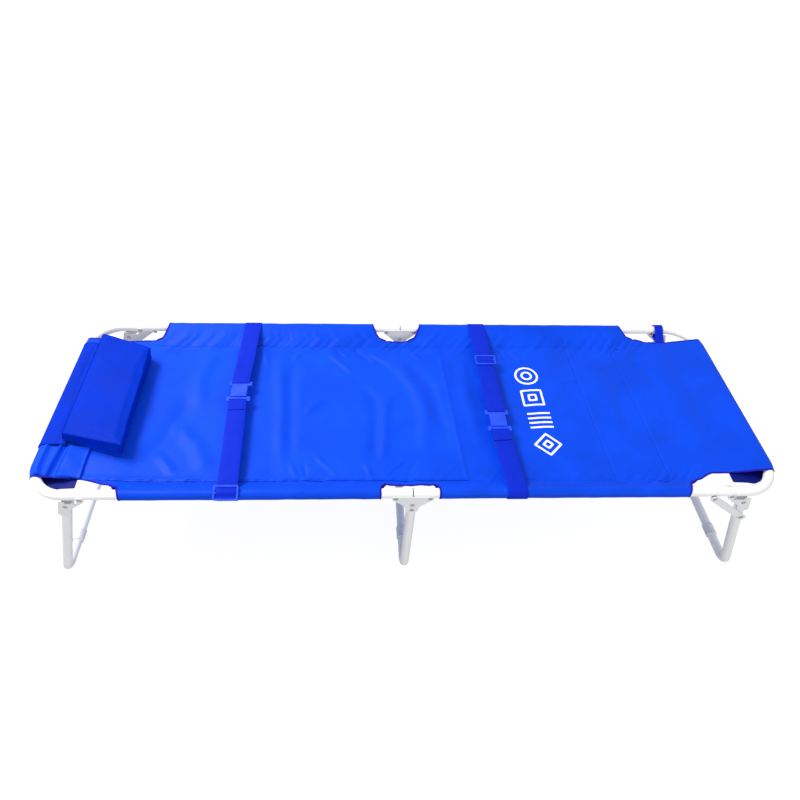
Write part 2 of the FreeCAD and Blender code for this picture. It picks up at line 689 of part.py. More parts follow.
def pillow_flap():
    """The flap that runs from the pillow over the head tube and hangs outside it."""
    body = new_body("pillow_flap")
    face = sketch(body, "XZ_Plane", -S.flap_far)
    start, roof = -(S.pillow_outer + S.flap_start_gap), S.rail_height + S.flap_lift
    inside = -(END_TUBE_X + S.flap_clear)
    outside, bottom = inside - S.flap_thick, S.rail_height - S.flap_hang
    outline(face, [(start, roof), (start, roof + S.flap_thick),
                   (outside + S.flap_corner, roof + S.flap_thick),
                   (outside, roof - S.flap_thick), (outside, bottom), (inside, bottom),
                   (inside, roof - S.flap_corner), (inside + S.flap_corner, roof)])
    pad(body, face, S.flap_near + S.flap_far)


def carry_loop():
    """A webbing loop round the far rail at the foot end, sewn under the sheet's edge."""
    body = new_body("carry_loop")
    face = sketch(body, "YZ_Plane", S.loop_start)
    teardrop(face, RAIL_Y, S.loop_outer, S.loop_seam, S.rail_height)
    teardrop(face, RAIL_Y, S.loop_inner, S.loop_seam + S.sleeve_lap, S.rail_height)
    pad(body, face, S.loop_width)


# ---------------------------------------------------------------- belts

def belt_parts(name, x, middle_y):
    """x of a belt's near edge and the Y places along its buckle, socket nearer than tongue."""
    reach = S.buckle_block / 2 + S.yoke_depth - S.bar_depth / 2
    socket_bar, tongue_bar = middle_y - reach, middle_y + reach + S.tongue_slack
    return x - S.web_width / 2, socket_bar, tongue_bar


def bar_loop(body, x_low, bar_y, level):
    """Webbing folded round a buckle's bar."""
    face = sketch(body, "YZ_Plane", x_low)
    for grow in (S.web_gap + (S.web_outer - S.web_inner), S.web_gap):
        half_y, half_z = S.bar_depth / 2 + grow, S.bar_high / 2 + grow
        rectangle(face, bar_y - half_y, bar_y + half_y, level - half_z, level + half_z)
    pad(body, face, S.web_width)


def belt_webbing(name, x, middle_y):
    """The belt: once round the bed outside both rails, open on top where the buckle sits."""
    body = new_body(f"{name}_belt_webbing")
    x_low, socket_bar, tongue_bar = belt_parts(name, x, middle_y)
    face = sketch(body, "YZ_Plane", x_low)
    for radius in (S.web_outer, S.web_inner):
        stadium(face, RAIL_Y, S.rail_height, radius)
    pad(body, face, S.web_width)
    gap = sketch(body, "YZ_Plane", x_low + S.web_width / 2)
    thick = S.web_outer - S.web_inner
    loop_edge = S.bar_depth / 2 + S.web_gap + thick
    far_edge = tongue_bar + loop_edge + S.tongue_travel + S.tab_clear
    rectangle(gap, socket_bar - loop_edge + thick / 2, far_edge,
              S.rail_height + S.web_inner - thick, S.rail_height + S.web_outer + thick)
    cut(body, gap)
    bar_loop(body, x_low, socket_bar, BELT_MIDDLE)


def stadium(flat, half_length, level, radius):
    """A closed racetrack about level, with its round ends centred at +-half_length."""
    first = flat.GeometryCount
    reach, height, turn = half_length.value, level.value, radius.value
    flat.addGeometry([
        Part.LineSegment(VECTOR(-reach, height - turn, 0), VECTOR(reach, height - turn, 0)),
        Part.ArcOfCircle(Part.Circle(VECTOR(reach, height, 0), UP, turn), -math.pi / 2, math.pi / 2),
        Part.LineSegment(VECTOR(reach, height + turn, 0), VECTOR(-reach, height + turn, 0)),
        Part.ArcOfCircle(Part.Circle(VECTOR(-reach, height, 0), UP, turn), math.pi / 2, 3 * math.pi / 2),
    ], False)
    flat.addConstraint([Rule("Tangent", first + step, END, first + (step + 1) % 4, START)
                        for step in range(4)])
    pin(flat, first + 1, CENTRE, half_length, level)
    pin(flat, first + 3, CENTRE, -half_length, level)
    measure(flat, Rule("Radius", first + 1, turn), radius)


def belt_tab(name, x, middle_y):
    """The sewn double end of the belt that holds the tongue."""
    body = new_body(f"{name}_belt_tab")
    x_low, _, tongue_bar = belt_parts(name, x, middle_y)
    bar_loop(body, x_low, tongue_bar, BELT_MIDDLE)
    thick = S.web_outer - S.web_inner
    edge = tongue_bar + S.bar_depth / 2 + S.web_gap
    face = sketch(body, "YZ_Plane", x_low)
    low = BELT_MIDDLE + S.bar_high / 2 + S.web_gap
    rectangle(face, edge + thick / 2, tongue_bar + S.tab_length, low, low + thick)
    pad(body, face, S.web_width)


def block(body, x_low, x_high, y_low, y_high, level, high):
    """A rectangular block centred on level."""
    face = sketch(body, "XY_Plane", level)
    rectangle(face, x_low, x_high, y_low, y_high)
    pad(body, face, high, both_ways=True)


def yoke(body, x, inner_edge, outer_edge):
    """The wide end of a buckle half: a slotted frame whose outer bar carries webbing."""
    half = S.bar_width / 2
    low, high = sorted((inner_edge, outer_edge), key=lambda edge: edge.value)
    block(body, x - half, x + half, low, high, BELT_MIDDLE, S.bar_high)
    round_edges(body, S.buckle_round, yoke_corner(x, half, (inner_edge, outer_edge)))


def yoke_corner(x, half, edges):
    """Picks the upright corner edges at the ends of a yoke."""
    def chosen(edge):
        middle = edge.CenterOfMass
        return (runs_along(UP)(edge) and abs(abs(middle.x - x.value) - half.value) < 0.05
                and any(abs(middle.y - y.value) < 0.05 for y in edges))
    return chosen


def slot_through(body, x, y_low, y_high, width):
    """A rectangular slot cut straight down through a buckle half."""
    opening = sketch(body, "XY_Plane", BELT_MIDDLE)
    rectangle(opening, x - width / 2, x + width / 2, y_low, y_high)
    cut(body, opening)


def web_slot(body, x, outer_edge, side):
    """The slot behind a yoke's outer bar, with room for one layer of webbing; the bar is on side."""
    room = S.web_outer - S.web_inner + S.web_gap * 2
    bar_edge = outer_edge - S.bar_depth * side
    low, high = (bar_edge - room, bar_edge) if side == FAR else (bar_edge, bar_edge + room)
    slot_through(body, x, low, high, S.web_width + S.web_gap * 2)


def buckle_socket(name, x, middle_y):
    """The hollow half of a side-release buckle."""
    body = new_body(f"{name}_buckle_socket")
    front, back = middle_y + S.buckle_block / 2, middle_y - S.buckle_block / 2
    half = S.buckle_width / 2
    block(body, x - half, x + half, back, front, BELT_MIDDLE, S.buckle_high)
    round_edges(body, S.buckle_round, runs_along(VECTOR(0, 1, 0)))
    yoke(body, x, back + S.buckle_overlap, back - S.yoke_depth)
    web_slot(body, x, back - S.yoke_depth, NEAR)
    cavity = sketch(body, "XZ_Plane", -front)
    inside = half - S.buckle_wall
    height = S.buckle_high / 2 - S.buckle_wall
    rectangle(cavity, x - inside, x + inside, BELT_MIDDLE - height, BELT_MIDDLE + height)
    hollow = pocket(body, cavity, S.buckle_block - S.buckle_wall)
    hollow.Reversed = True
    DOC.recompute()
    for side in (NEAR, FAR):
        release_window(body, x, side, middle_y, height * 2)


def pocket(body, flat, depth):
    """Cut a sketch into the body to a depth."""
    tool = body.newObject("PartDesign::Pocket", f"{body.Label}_pocket")
    tool.Profile = flat
    bind(tool, "Length", depth)
    DOC.recompute()
    return tool


def release_window(body, x, side, middle_y, high):
    """The opening in one side wall of a socket where a prong is squeezed."""
    window = sketch(body, "XY_Plane", BELT_MIDDLE)
    outer = x + (S.buckle_width / 2 + S.buckle_overlap) * side
    inner = x + (S.buckle_width / 2 - S.buckle_wall - S.buckle_overlap) * side
    low, top = (inner, outer) if side == FAR else (outer, inner)
    rectangle(window, low, top, middle_y - S.window_length / 2, middle_y + S.window_length / 2)
    pocket(body, window, high).Midplane = True
    DOC.recompute()


def buckle_tongue(name, x, middle_y):
    """The half that slides in: two side prongs and a middle guide on a slotted yoke."""
    body = new_body(f"{name}_buckle_tongue")
    front = middle_y + S.buckle_block / 2 + S.tongue_slack
    root = front + S.buckle_overlap
    yoke(body, x, front, front + S.yoke_depth)
    reach = S.buckle_block - S.buckle_wall - S.tongue_slack * 3
    inside = S.buckle_width / 2 - S.buckle_wall - S.tongue_slack
    thin = S.buckle_high - S.buckle_wall * 2 - S.tongue_slack * 2
    for side in (NEAR, FAR):
        edges = (inside * side, (inside - S.prong_width) * side)
        low, top = edges[::-1] if side == FAR else edges
        block(body, x + low, x + top, front - reach, root, BELT_MIDDLE, thin)
    block(body, x - S.prong_width / 2, x + S.prong_width / 2, front - S.guide_length, root,
          BELT_MIDDLE, thin)
    web_slot(body, x, front + S.yoke_depth, FAR)


def slider(label):
    """A three-bar slide, flat on its own base plane and centred on its own origin."""
    body = new_body(label)
    face = sketch(body, "XY_Plane", S.web_outer + S.web_gap)
    half_x, half_y = S.slider_width / 2, S.slider_depth / 2
    rectangle(face, -half_x, half_x, -half_y, half_y)
    pad(body, face, S.slider_high)
    round_edges(body, S.slider_round, runs_along(UP))
    slots = sketch(body, "XY_Plane", S.web_outer)
    inner_x, bar = half_x - S.slider_edge, S.slider_edge / 2
    for side in (NEAR, FAR):
        edges = (bar * side, (half_y - S.slider_edge) * side)
        low, high = edges if side == FAR else edges[::-1]
        rectangle(slots, -inner_x, inner_x, low, high)
    cut(body, slots)
    return body


def belts():
    """The chest belt and the leg belt, each with its buckle and slide."""
    for name, x, middle_y in (("chest", -S.chest_belt_x, S.chest_buckle_y),
                              ("leg", S.leg_belt_x, -S.leg_buckle_y)):
        for make in (belt_webbing, belt_tab, buckle_socket, buckle_tongue):
            make(name, x, middle_y)
    chest = slider("chest_belt_slider")
    place(chest, x=-S.chest_slider_x, y=-RAIL_Y, z=S.rail_height,
          axis=VECTOR(1, 0, 0), angle=as_size(90) - S.chest_slider_lean)
    leg = slider("leg_belt_slider")
    place(leg, x=S.leg_slider_x, y=S.leg_slider_y, z=S.rail_height)


# ---------------------------------------------------------------- the whole stretcher

def build_half(name, half):
    """Everything that belongs to the foot or the head half."""
    frame_tube(name, half)
    rail_plugs(name, half)
    end_leg(name, half)
    leg_plugs(name, half)
    crossbar_x, crossbar_z = leg_point(half, S.leg_length)
    floor_pads(f"{name}_leg_pads", crossbar_x, crossbar_z)
    for side_name, side in SIDES:
        leg_bracket(name, half, side_name, side)
    plate_rivets(f"{name}_bracket_rivets",
                 [(beyond(S.bracket_rivet_reach, half), S.rail_height - S.bracket_rivet_drop)])
    plate_rivets(f"{name}_leg_pivot_rivets", [leg_point(half, 0)])
    brace(name, half)
    brace_fittings(name, half)
    sheet_half(name, half)


def build_middle():
    """The middle leg with its four gussets and their rivets."""
    middle_leg()
    floor_pads("middle_leg_pads", as_size(0), S.floor_axis)
    for side_name, side in SIDES:
        for outer in (True, False):
            middle_plate(side_name, side, outer)
    plate_rivets("middle_hinge_rivets", [(beyond(S.hinge_reach, half), S.rail_height - S.hinge_drop)
                                         for _, half in HALVES])
    plate_rivets("middle_leg_rivets", [(as_size(0), S.rail_height - drop) for drop in
                                       (S.upper_leg_rivet_drop, S.lower_leg_rivet_drop)])


def check_document():
    """Stop on any failed object, and on any sub-part that isn't one clean set of solids."""
    for thing in DOC.Objects:
        if {"Invalid", "Error"} & set(thing.State):
            raise RuntimeError(f"{thing.Label}: {thing.State}")
    bodies = [thing for thing in DOC.Objects if thing.TypeId == "PartDesign::Body"]
    for body in bodies:
        shape = body.Shape
        if shape.isNull() or not shape.isValid() or not shape.Solids:
            raise RuntimeError(f"{body.Label}: bad shape")
    return bodies


def write_parts():
    os.makedirs("parts", exist_ok=True)
    for body in check_document():
        body.Shape.exportStep(f"parts/{body.Label}.step")


for half_name, half_sign in HALVES:
    build_half(half_name, half_sign)
build_middle()
sheet_layers()
pillow()
head_strip()
pillow_flap()
carry_loop()
belts()
DOC.recompute()
write_parts()
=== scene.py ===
import math

import bmesh
import bpy
import numpy as np
from mathutils import Matrix, Vector, noise
from mathutils.bvhtree import BVHTree


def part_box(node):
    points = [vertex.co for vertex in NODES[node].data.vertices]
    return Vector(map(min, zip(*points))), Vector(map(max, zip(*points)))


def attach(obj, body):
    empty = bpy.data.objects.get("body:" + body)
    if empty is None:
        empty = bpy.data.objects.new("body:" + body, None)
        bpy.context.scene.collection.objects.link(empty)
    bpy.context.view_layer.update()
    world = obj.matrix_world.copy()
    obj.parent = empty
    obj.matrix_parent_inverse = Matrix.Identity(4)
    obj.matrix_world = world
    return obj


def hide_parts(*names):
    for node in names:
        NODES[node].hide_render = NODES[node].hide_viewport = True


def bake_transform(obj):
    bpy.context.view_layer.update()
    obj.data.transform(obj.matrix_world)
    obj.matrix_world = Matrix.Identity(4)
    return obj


# The stretcher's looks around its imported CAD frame. Metres; +X to the foot end, +Y to the far side.

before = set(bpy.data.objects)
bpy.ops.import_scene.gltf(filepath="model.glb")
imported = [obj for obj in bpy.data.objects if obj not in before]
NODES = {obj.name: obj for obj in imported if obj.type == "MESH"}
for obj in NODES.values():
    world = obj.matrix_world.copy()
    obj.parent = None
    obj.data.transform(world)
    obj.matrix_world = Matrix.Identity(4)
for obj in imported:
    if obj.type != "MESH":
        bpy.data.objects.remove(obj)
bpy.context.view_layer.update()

TUBE_R = 0.0125
RAIL_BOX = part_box("foot_frame_tube")
H = (RAIL_BOX[0].z + RAIL_BOX[1].z) / 2  # height of the rails' axis
RAIL_Y = RAIL_BOX[1].y - TUBE_R
END_X = RAIL_BOX[1].x - TUBE_R
BEND_R = 0.0875  # bend of the frame tube at its corners, to its axis

FOOT, HEAD = 1, -1
FAR, NEAR = 1, -1


# ---- small maths

def smooth(value, low, high):
    """0 below low, 1 above high, and an S-curve between."""
    t = np.clip((np.asarray(value, float) - low) / (high - low), 0, 1)
    return t * t * (3 - 2 * t)


def spaced(low, high, step, finer=()):
    """Rising positions from low to high, step apart; finer lists closer stretches: (centre, reach, step)."""
    marks = [low]
    while marks[-1] < high - 1e-9:
        here = marks[-1]
        size = min([step] + [fine for centre, reach, fine in finer
                             if centre - reach - 1e-9 <= here < centre + reach - 1e-9])
        starts = [centre - reach for centre, reach, _ in finer if here + 1e-9 < centre - reach < here + size]
        marks.append(min([here + size, high] + starts))
    if len(marks) > 2 and marks[-1] - marks[-2] < step * 0.2:
        marks.pop(-2)
    return np.array(marks)


def wander(values, scale, seed):
    """Smooth one-dimensional noise, about -1 to 1."""
    flat = np.ravel(np.asarray(values, float))
    made = [noise.noise(Vector((value * scale, seed * 7.31, 0.5))) for value in flat]
    return np.reshape(made, np.shape(values)) * 1.6


def drift(x, y, scale, seed, stretch=1.0):
    """Smooth two-dimensional noise, about -1 to 1, stretched along Y."""
    made = [noise.noise(Vector((a * scale, b * scale / stretch, seed * 3.7)))
            for a, b in zip(np.ravel(x), np.ravel(y))]
    return np.reshape(made, np.shape(x)) * 1.6


def softened(line, rounds):
    """A line with its kinks evened out; its ends stay."""
    for _ in range(rounds):
        line[1:-1] = (line[:-2] + line[1:-1] * 2 + line[2:]) / 4
    return line


def resample(points, count):
    """Evenly spaced points on a smooth curve through the given ones."""
    points = np.array(points, float)
    lengths = np.concatenate([[0], np.cumsum(np.linalg.norm(np.diff(points, axis=0), axis=1))])
    t = np.linspace(0, lengths[-1], count)
    return softened(np.stack([np.interp(t, lengths, column) for column in points.T], -1), 4)


def arc(centre, radius, start, end, count):
    """Points on a circle round centre, from start to end in degrees."""
    return [(centre[0] + radius * math.cos(math.radians(a)), centre[1] + radius * math.sin(math.radians(a)))
            for a in np.linspace(start, end, count)]


# ---- mesh helpers

def grid_faces(rows, columns):
    """Quads of a rows x columns grid of vertices."""
    return [(r * columns + c, r * columns + c + 1, (r + 1) * columns + c + 1, (r + 1) * columns + c)
            for r in range(rows - 1) for c in range(columns - 1)]


def make_object(name, vertices, faces, material):
    """A new mesh object at the origin with one material."""
    mesh = bpy.data.meshes.new(name)
    mesh.from_pydata([tuple(v) for v in np.asarray(vertices, float)], [], faces)
    mesh.materials.append(material)
    made = bpy.data.objects.new(name, mesh)
    bpy.context.scene.collection.objects.link(made)
    return made


def grid_object(name, grid, material):
    return make_object(name, grid.reshape(-1, 3), grid_faces(*grid.shape[:2]), material)


def clean(made, weld=0.0):
    """Join vertices that meet and turn all faces outward."""
    edit = bmesh.new()
    edit.from_mesh(made.data)
    if weld:
        bmesh.ops.remove_doubles(edit, verts=edit.verts, dist=weld)
    bmesh.ops.recalc_face_normals(edit, faces=edit.faces)
    edit.to_mesh(made.data)
    edit.free()


def evaluated(made):
    """The mesh of an object with its modifiers applied."""
    bpy.context.view_layer.update()
    return bpy.data.meshes.new_from_object(made.evaluated_get(bpy.context.evaluated_depsgraph_get()))


def bake(made, angle=40):
    """Apply the modifiers, and shade smooth with sharp edges above angle."""
    mesh = evaluated(made)
    made.modifiers.clear()
    made.data = mesh
    mesh.shade_smooth()
    mesh.set_sharp_from_angle(angle=math.radians(angle))
    return made


def thicken(made, thickness, offset=0.0):
    shell = made.modifiers.new("shell", "SOLIDIFY")
    shell.thickness = thickness
    shell.offset = offset
    shell.use_even_offset = True
    return bake(made)


def band_outline(width, thickness):
    """Cut through a flat band with round edges: distances across it and up from its middle."""
    half = thickness / 2
    flat = width / 2 - half
    outline = []
    for side, first in ((1, -90), (-1, 90)):
        outline += arc((side * flat, 0), half, first, first + 180, 5)
        outline += [(side * flat * share, side * half) for share in (0.5, 0.0, -0.5)]
    return outline


def ribbon_parts(path, across, width, thickness):
    """A flat band with round edges swept along path; across is its width's direction."""
    path = np.asarray(path, float)
    across = np.broadcast_to(np.asarray(across, float), path.shape)
    step = np.gradient(path, axis=0)
    step /= np.linalg.norm(step, axis=1, keepdims=True) + 1e-12
    side = across - (across * step).sum(1, keepdims=True) * step
    side /= np.linalg.norm(side, axis=1, keepdims=True)
    up = np.cross(side, step)
    outline = band_outline(width, thickness)
    size = len(outline)
    vertices = [path[k] + side[k] * a + up[k] * b for k in range(len(path)) for a, b in outline]
    faces = [(row + k, row + (k + 1) % size, row + size + (k + 1) % size, row + size + k)
             for row in range(0, (len(path) - 1) * size, size) for k in range(size)]
    faces.append(tuple(range(size))[::-1])
    faces.append(tuple(range(len(vertices) - size, len(vertices))))
    return np.array(vertices), faces


def stitch(start, end, wide):
    """One thread stitch between two points: a bead with eight faces, raised in its middle."""
    direction = (end - start)[:2] / (np.linalg.norm((end - start)[:2]) + 1e-12)
    side = np.array([-direction[1], direction[0], 0]) * wide
    middle = (start + end) / 2 + np.array([0, 0, 0.0003])
    up = np.array([0, 0, wide])
    points = np.array([start, end, middle + side, middle + up, middle - side, middle - up])
    faces = [(0, 2, 3), (0, 3, 4), (0, 4, 5), (0, 5, 2), (1, 3, 2), (1, 4, 3), (1, 5, 4), (1, 2, 5)]
    return points, faces


def joined(name, parts, material):
    """One object made of several parts, each given as points and faces."""
    vertices, faces, first = [], [], 0
    for points, cells in parts:
        vertices.append(np.asarray(points, float))
        faces += [tuple(v + first for v in cell) for cell in cells]
        first += len(points)
    return make_object(name, np.concatenate(vertices), faces, material)


def bands(name, parts, material):
    """One smooth object made of several closed bands."""
    made = joined(name, parts, material)
    clean(made)
    return bake(made)


def ribbon(name, path, width, thickness, material):
    """A band along path, lying flat along X."""
    return bands(name, [ribbon_parts(path, (1, 0, 0), width, thickness)], material)


def dress(made, body, slot, *stand_ins):
    """Let a piece ride on its body, and hide the CAD solids that it stands for. The slot argument is not
    used.
    """
    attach(made, body)
    if stand_ins:
        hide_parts(*stand_ins)


# ---- materials

class Shader:
    """A node material built step by step; its values are outputs of nodes, numbers or linear colours."""

    def __init__(self, name):
        self.material = bpy.data.materials.new(name)
        self.material.use_nodes = True
        self.tree = self.material.node_tree
        self.surface = self.tree.nodes["Principled BSDF"]
        self.place = self.add("ShaderNodeTexCoord").outputs["Object"]

    def add(self, kind, **values):
        node = self.tree.nodes.new(kind)
        for key, value in values.items():
            node.inputs[key].default_value = value
        return node

    def link(self, source, target):
        self.tree.links.new(source, target)

    def fill(self, target, value):
        """Feed an input with a number, a colour or another node's output."""
        if isinstance(value, tuple):
            target.default_value = (*value, 1.0)
        elif isinstance(value, (int, float)):
            target.default_value = value
        else:
            self.link(value, target)

    def set(self, **values):
        for key, value in values.items():
            self.fill(self.surface.inputs[key.replace("_", " ")], value)

    def noise(self, scale, detail=2.0):
        node = self.add("ShaderNodeTexNoise", Scale=scale, Detail=detail)
        self.link(self.place, node.inputs["Vector"])
        return node.outputs["Fac"]

    def wave(self, scale, direction):
        node = self.add("ShaderNodeTexWave", Scale=scale)
        node.bands_direction = direction
        node.wave_profile = "SIN"
        self.link(self.place, node.inputs["Vector"])
        return node.outputs["Fac"]

    def math(self, operation, a, b):
        node = self.add("ShaderNodeMath")
        node.operation = operation
        self.fill(node.inputs[0], a)
        self.fill(node.inputs[1], b)
        return node.outputs[0]

    def ramp(self, value, low, high, from_low=0.0, from_high=1.0):
        """Low to high as value goes from from_low to from_high."""
        node = self.add("ShaderNodeMapRange")
        self.link(value, node.inputs["Value"])
        limits = {"From Min": from_low, "From Max": from_high, "To Min": low, "To Max": high}
        for key, number in limits.items():
            node.inputs[key].default_value = number
        return node.outputs["Result"]

    def mix(self, factor, a, b):
        node = self.add("ShaderNodeMix")
        node.data_type = "RGBA"
        for slot, value in ((0, factor), (6, a), (7, b)):
            self.fill(node.inputs[slot], value)
        return node.outputs[2]

    def bump(self, height, strength, distance):
        node = self.add("ShaderNodeBump", Strength=strength, Distance=distance)
        self.link(height, node.inputs["Height"])
        self.link(node.outputs["Normal"], self.surface.inputs["Normal"])


def rgb(red, green, blue):
    """Linear colour from 0-255 display values."""
    return tuple(((c / 255) / 12.92) if c / 255 <= 0.04045 else ((c / 255 + 0.055) / 1.055) ** 2.4
                 for c in (red, green, blue))


def shade(colour, amount):
    return tuple(min(1.0, c * amount) for c in colour)


def coated_fabric(name, colour, sheen=0.03, roughness=(0.4, 0.54), gloss=0.09):
    """Plain-weave coated cloth: crossing threads, soft mottling and small scuffs."""
    s = Shader(name)
    threads = 620.0 / math.tau
    weave = s.math("MULTIPLY", s.wave(threads, "X"), s.wave(threads, "Y"))
    mottle, speck = s.noise(9.0, 3.0), s.noise(160.0, 4.0)
    tone = s.mix(s.ramp(mottle, 0.0, 1.0, 0.35, 0.65), shade(colour, 0.9), shade(colour, 1.08))
    tone = s.mix(s.ramp(weave, 0.0, 0.22), tone, shade(colour, 0.72))
    tone = s.mix(s.ramp(speck, 0.0, 0.10, 0.55, 0.8), tone, shade(colour, 1.5))
    s.set(Base_Color=tone, Roughness=s.ramp(mottle, *roughness, 0.3, 0.7), Specular_IOR_Level=gloss,
          Sheen_Weight=sheen, Sheen_Roughness=0.4, Sheen_Tint=(0.35, 0.5, 1.0))
    s.bump(s.math("ADD", weave, s.math("MULTIPLY", speck, 0.6)), 0.22, 0.0006)
    return s.material


def woven_belt(name, colour):
    """Ribbed belt webbing: ribs along the belt crossed by the weft."""
    s = Shader(name)
    ribs, weft = s.wave(80.0, "X"), s.wave(140.0, "Y")
    weave = s.math("ADD", s.math("MULTIPLY", ribs, 0.7), s.math("MULTIPLY", weft, 0.5))
    mottle = s.noise(30.0, 3.0)
    tone = s.mix(s.ramp(weave, 0.0, 0.5), shade(colour, 0.82), shade(colour, 1.2))
    tone = s.mix(s.ramp(mottle, 0.0, 0.35, 0.35, 0.7), tone, shade(colour, 0.8))
    s.set(Base_Color=tone, Roughness=s.ramp(mottle, 0.5, 0.68, 0.3, 0.7), Specular_IOR_Level=0.07,
          Sheen_Weight=0.04, Sheen_Roughness=0.35, Sheen_Tint=(0.4, 0.45, 1.0))
    s.bump(weave, 0.45, 0.0006)
    return s.material


def plastic(name, colour, roughness=(0.28, 0.42), grain=900.0, strength=0.12):
    """Moulded plastic: fine grain and slightly uneven gloss."""
    s = Shader(name)
    uneven = s.noise(40.0)
    tone = s.mix(s.ramp(uneven, 0.0, 1.0, 0.35, 0.65), shade(colour, 0.88), shade(colour, 1.1))
    s.set(Base_Color=tone, Roughness=s.ramp(uneven, *roughness, 0.3, 0.7))
    s.bump(s.noise(grain, 3.0), strength, 0.0003)
    return s.material


def rubbed_edges(s, wear):
    """1 on edges that are rubbed bare, in patches."""
    bevel = s.add("ShaderNodeBevel", Radius=0.0012)
    bevel.samples = 4
    facing = s.add("ShaderNodeVectorMath")
    facing.operation = "DOT_PRODUCT"
    s.link(bevel.outputs["Normal"], facing.inputs[0])
    s.link(s.add("ShaderNodeNewGeometry").outputs["Normal"], facing.inputs[1])
    edge = s.ramp(facing.outputs["Value"], 1.0, 0.0, 0.86, 0.995)
    return s.math("MULTIPLY", edge, s.ramp(s.noise(55.0, 5.0), 0.0, wear, 0.42, 0.62))


def painted_metal(name, colour, worn, wear):
    """Powder coat: slight orange peel, faint dirt, and wear where edges are rubbed."""
    s = Shader(name)
    dirt = s.noise(14.0, 4.0)
    tone = s.mix(s.ramp(dirt, 0.0, 0.35, 0.5, 0.8), colour, shade(colour, 0.9))
    s.set(Base_Color=s.mix(rubbed_edges(s, wear), tone, worn), Roughness=s.ramp(dirt, 0.26, 0.4, 0.3, 0.7),
          Coat_Weight=0.15, Coat_Roughness=0.25)
    s.bump(s.noise(420.0), 0.06, 0.0004)
    return s.material


def zinc(name):
    """Zinc-plated rivets with dull patches and a fine grain."""
    s = Shader(name)
    dull = s.noise(300.0, 3.0)
    tone = s.mix(s.ramp(dull, 0.0, 1.0, 0.3, 0.7), (0.62, 0.64, 0.66), (0.36, 0.37, 0.39))
    s.set(Base_Color=tone, Roughness=s.ramp(dull, 0.28, 0.5, 0.3, 0.7), Metallic=0.9)
    s.bump(s.noise(1500.0), 0.2, 0.0002)
    return s.material


MAT = {
    "sheet_fabric": coated_fabric("sheet_fabric", rgb(3, 70, 222)),
    "patch_fabric": coated_fabric("patch_fabric", rgb(4, 72, 226)),
    "pillow_fabric": coated_fabric("pillow_fabric", rgb(1, 47, 184), 0.01, (0.45, 0.6), 0.035),
    "webbing": woven_belt("webbing", rgb(10, 44, 204)),
    "buckle_plastic": plastic("buckle_plastic", rgb(14, 72, 232)),
    "frame_paint": painted_metal("frame_paint", rgb(247, 247, 248), rgb(150, 152, 156), 0.15),
    "leg_paint": painted_metal("leg_paint", rgb(240, 242, 243), rgb(140, 143, 148), 0.25),
    "plate_paint": painted_metal("plate_paint", rgb(232, 234, 236), rgb(120, 124, 130), 0.8),
    "rivet_zinc": zinc("rivet_zinc"),
    "plug_plastic": plastic("plug_plastic", rgb(214, 215, 216), grain=600.0),
    "pad_plastic": plastic("pad_plastic", rgb(226, 228, 231), (0.4, 0.55), 500.0, 0.2),
    "washer_plastic": plastic("washer_plastic", rgb(70, 72, 76), grain=600.0),
    "hem_tape": woven_belt("hem_tape", rgb(34, 26, 176)),
    "thread": plastic("thread", rgb(14, 44, 190), (0.5, 0.65), 700.0, 0.4),
    "print_white": coated_fabric("print_white", rgb(238, 241, 252), 0.0, (0.4, 0.5)),
    # painted shade: a dark navy copy of the sheet cloth for the shaded lower layer of the end sleeves
    "painted_shade_under_fabric": coated_fabric("painted_shade_under_fabric", rgb(6, 20, 118)),
}


# ---- the sheet's outline

CLOTH = 0.0009
SLEEVE_R = 0.0136  # of a sleeve round its tube, to the middle of the cloth
SEAM_Y = {FAR: 0.233, NEAR: 0.264}  # distance of each rail sleeve's seam from the middle line
END_SEAM = 0.828  # |x| of the seam of both end sleeves

# |x| where each rail sleeve starts at the rail, beside the middle notch.
RAIL_START = {(FOOT, FAR): 0.062, (HEAD, FAR): 0.087, (FOOT, NEAR): 0.068, (HEAD, NEAR): 0.081}
# How much narrower each half of the notch is at the hem than at the rail, and how square its corner is.
NOTCH = {FAR: (0.042, 0.42), NEAR: (0.014, 0.3)}
# Half width of the sheet's single layer: in the middle, at the corner cutouts, and at the end seam.
HEM_MIDDLE = {FAR: 0.256, NEAR: 0.276}
HEM_CORNER = {(FOOT, FAR): 0.262, (FOOT, NEAR): 0.268, (HEAD, FAR): 0.248, (HEAD, NEAR): 0.276}
HEM_END = {(FOOT, FAR): 0.247, (FOOT, NEAR): 0.249, (HEAD, FAR): 0.241, (HEAD, NEAR): 0.260}
HEM_FADE = {FOOT: 0.050, HEAD: 0.080}  # length over which the hem narrows past a corner cutout
HEM_LIMIT = 0.281  # beyond every hem of the single layer
# Half width of the end sleeve's lower layer where it is sewn on.
HEM_BELOW = {(FOOT, FAR): 0.252, (FOOT, NEAR): 0.278, (HEAD, FAR): 0.246, (HEAD, NEAR): 0.286}
# Rail sleeve's end at a corner cutout: |x| at the hem, |x| at the rail, and how square the corner is.
CUTOUT = {FOOT: (0.738, 0.695, 0.45), HEAD: (0.750, 0.713, 0.32)}


def hem_y(x, half, side):
    """Half width of the sheet's single layer on one side of one half."""
    x = np.abs(x)
    wide, corner, narrow = HEM_MIDDLE[side], HEM_CORNER[half, side], HEM_END[half, side]
    start = CUTOUT[half][0] - 0.003
    return (wide + (corner - wide) * smooth(x, 0.55, 0.70)
            + (narrow - corner) * smooth(x, start, start + HEM_FADE[half]))


def notch_start(out_y, half, side):
    """|x| where the rail sleeve starts, at a distance out_y from the middle line."""
    hem, at_rail = HEM_MIDDLE[side], RAIL_START[half, side]
    depth, power = NOTCH[side]
    t = np.clip((out_y - hem) / (RAIL_Y - hem), 0, 1)
    return at_rail - depth * (1 - t ** power)


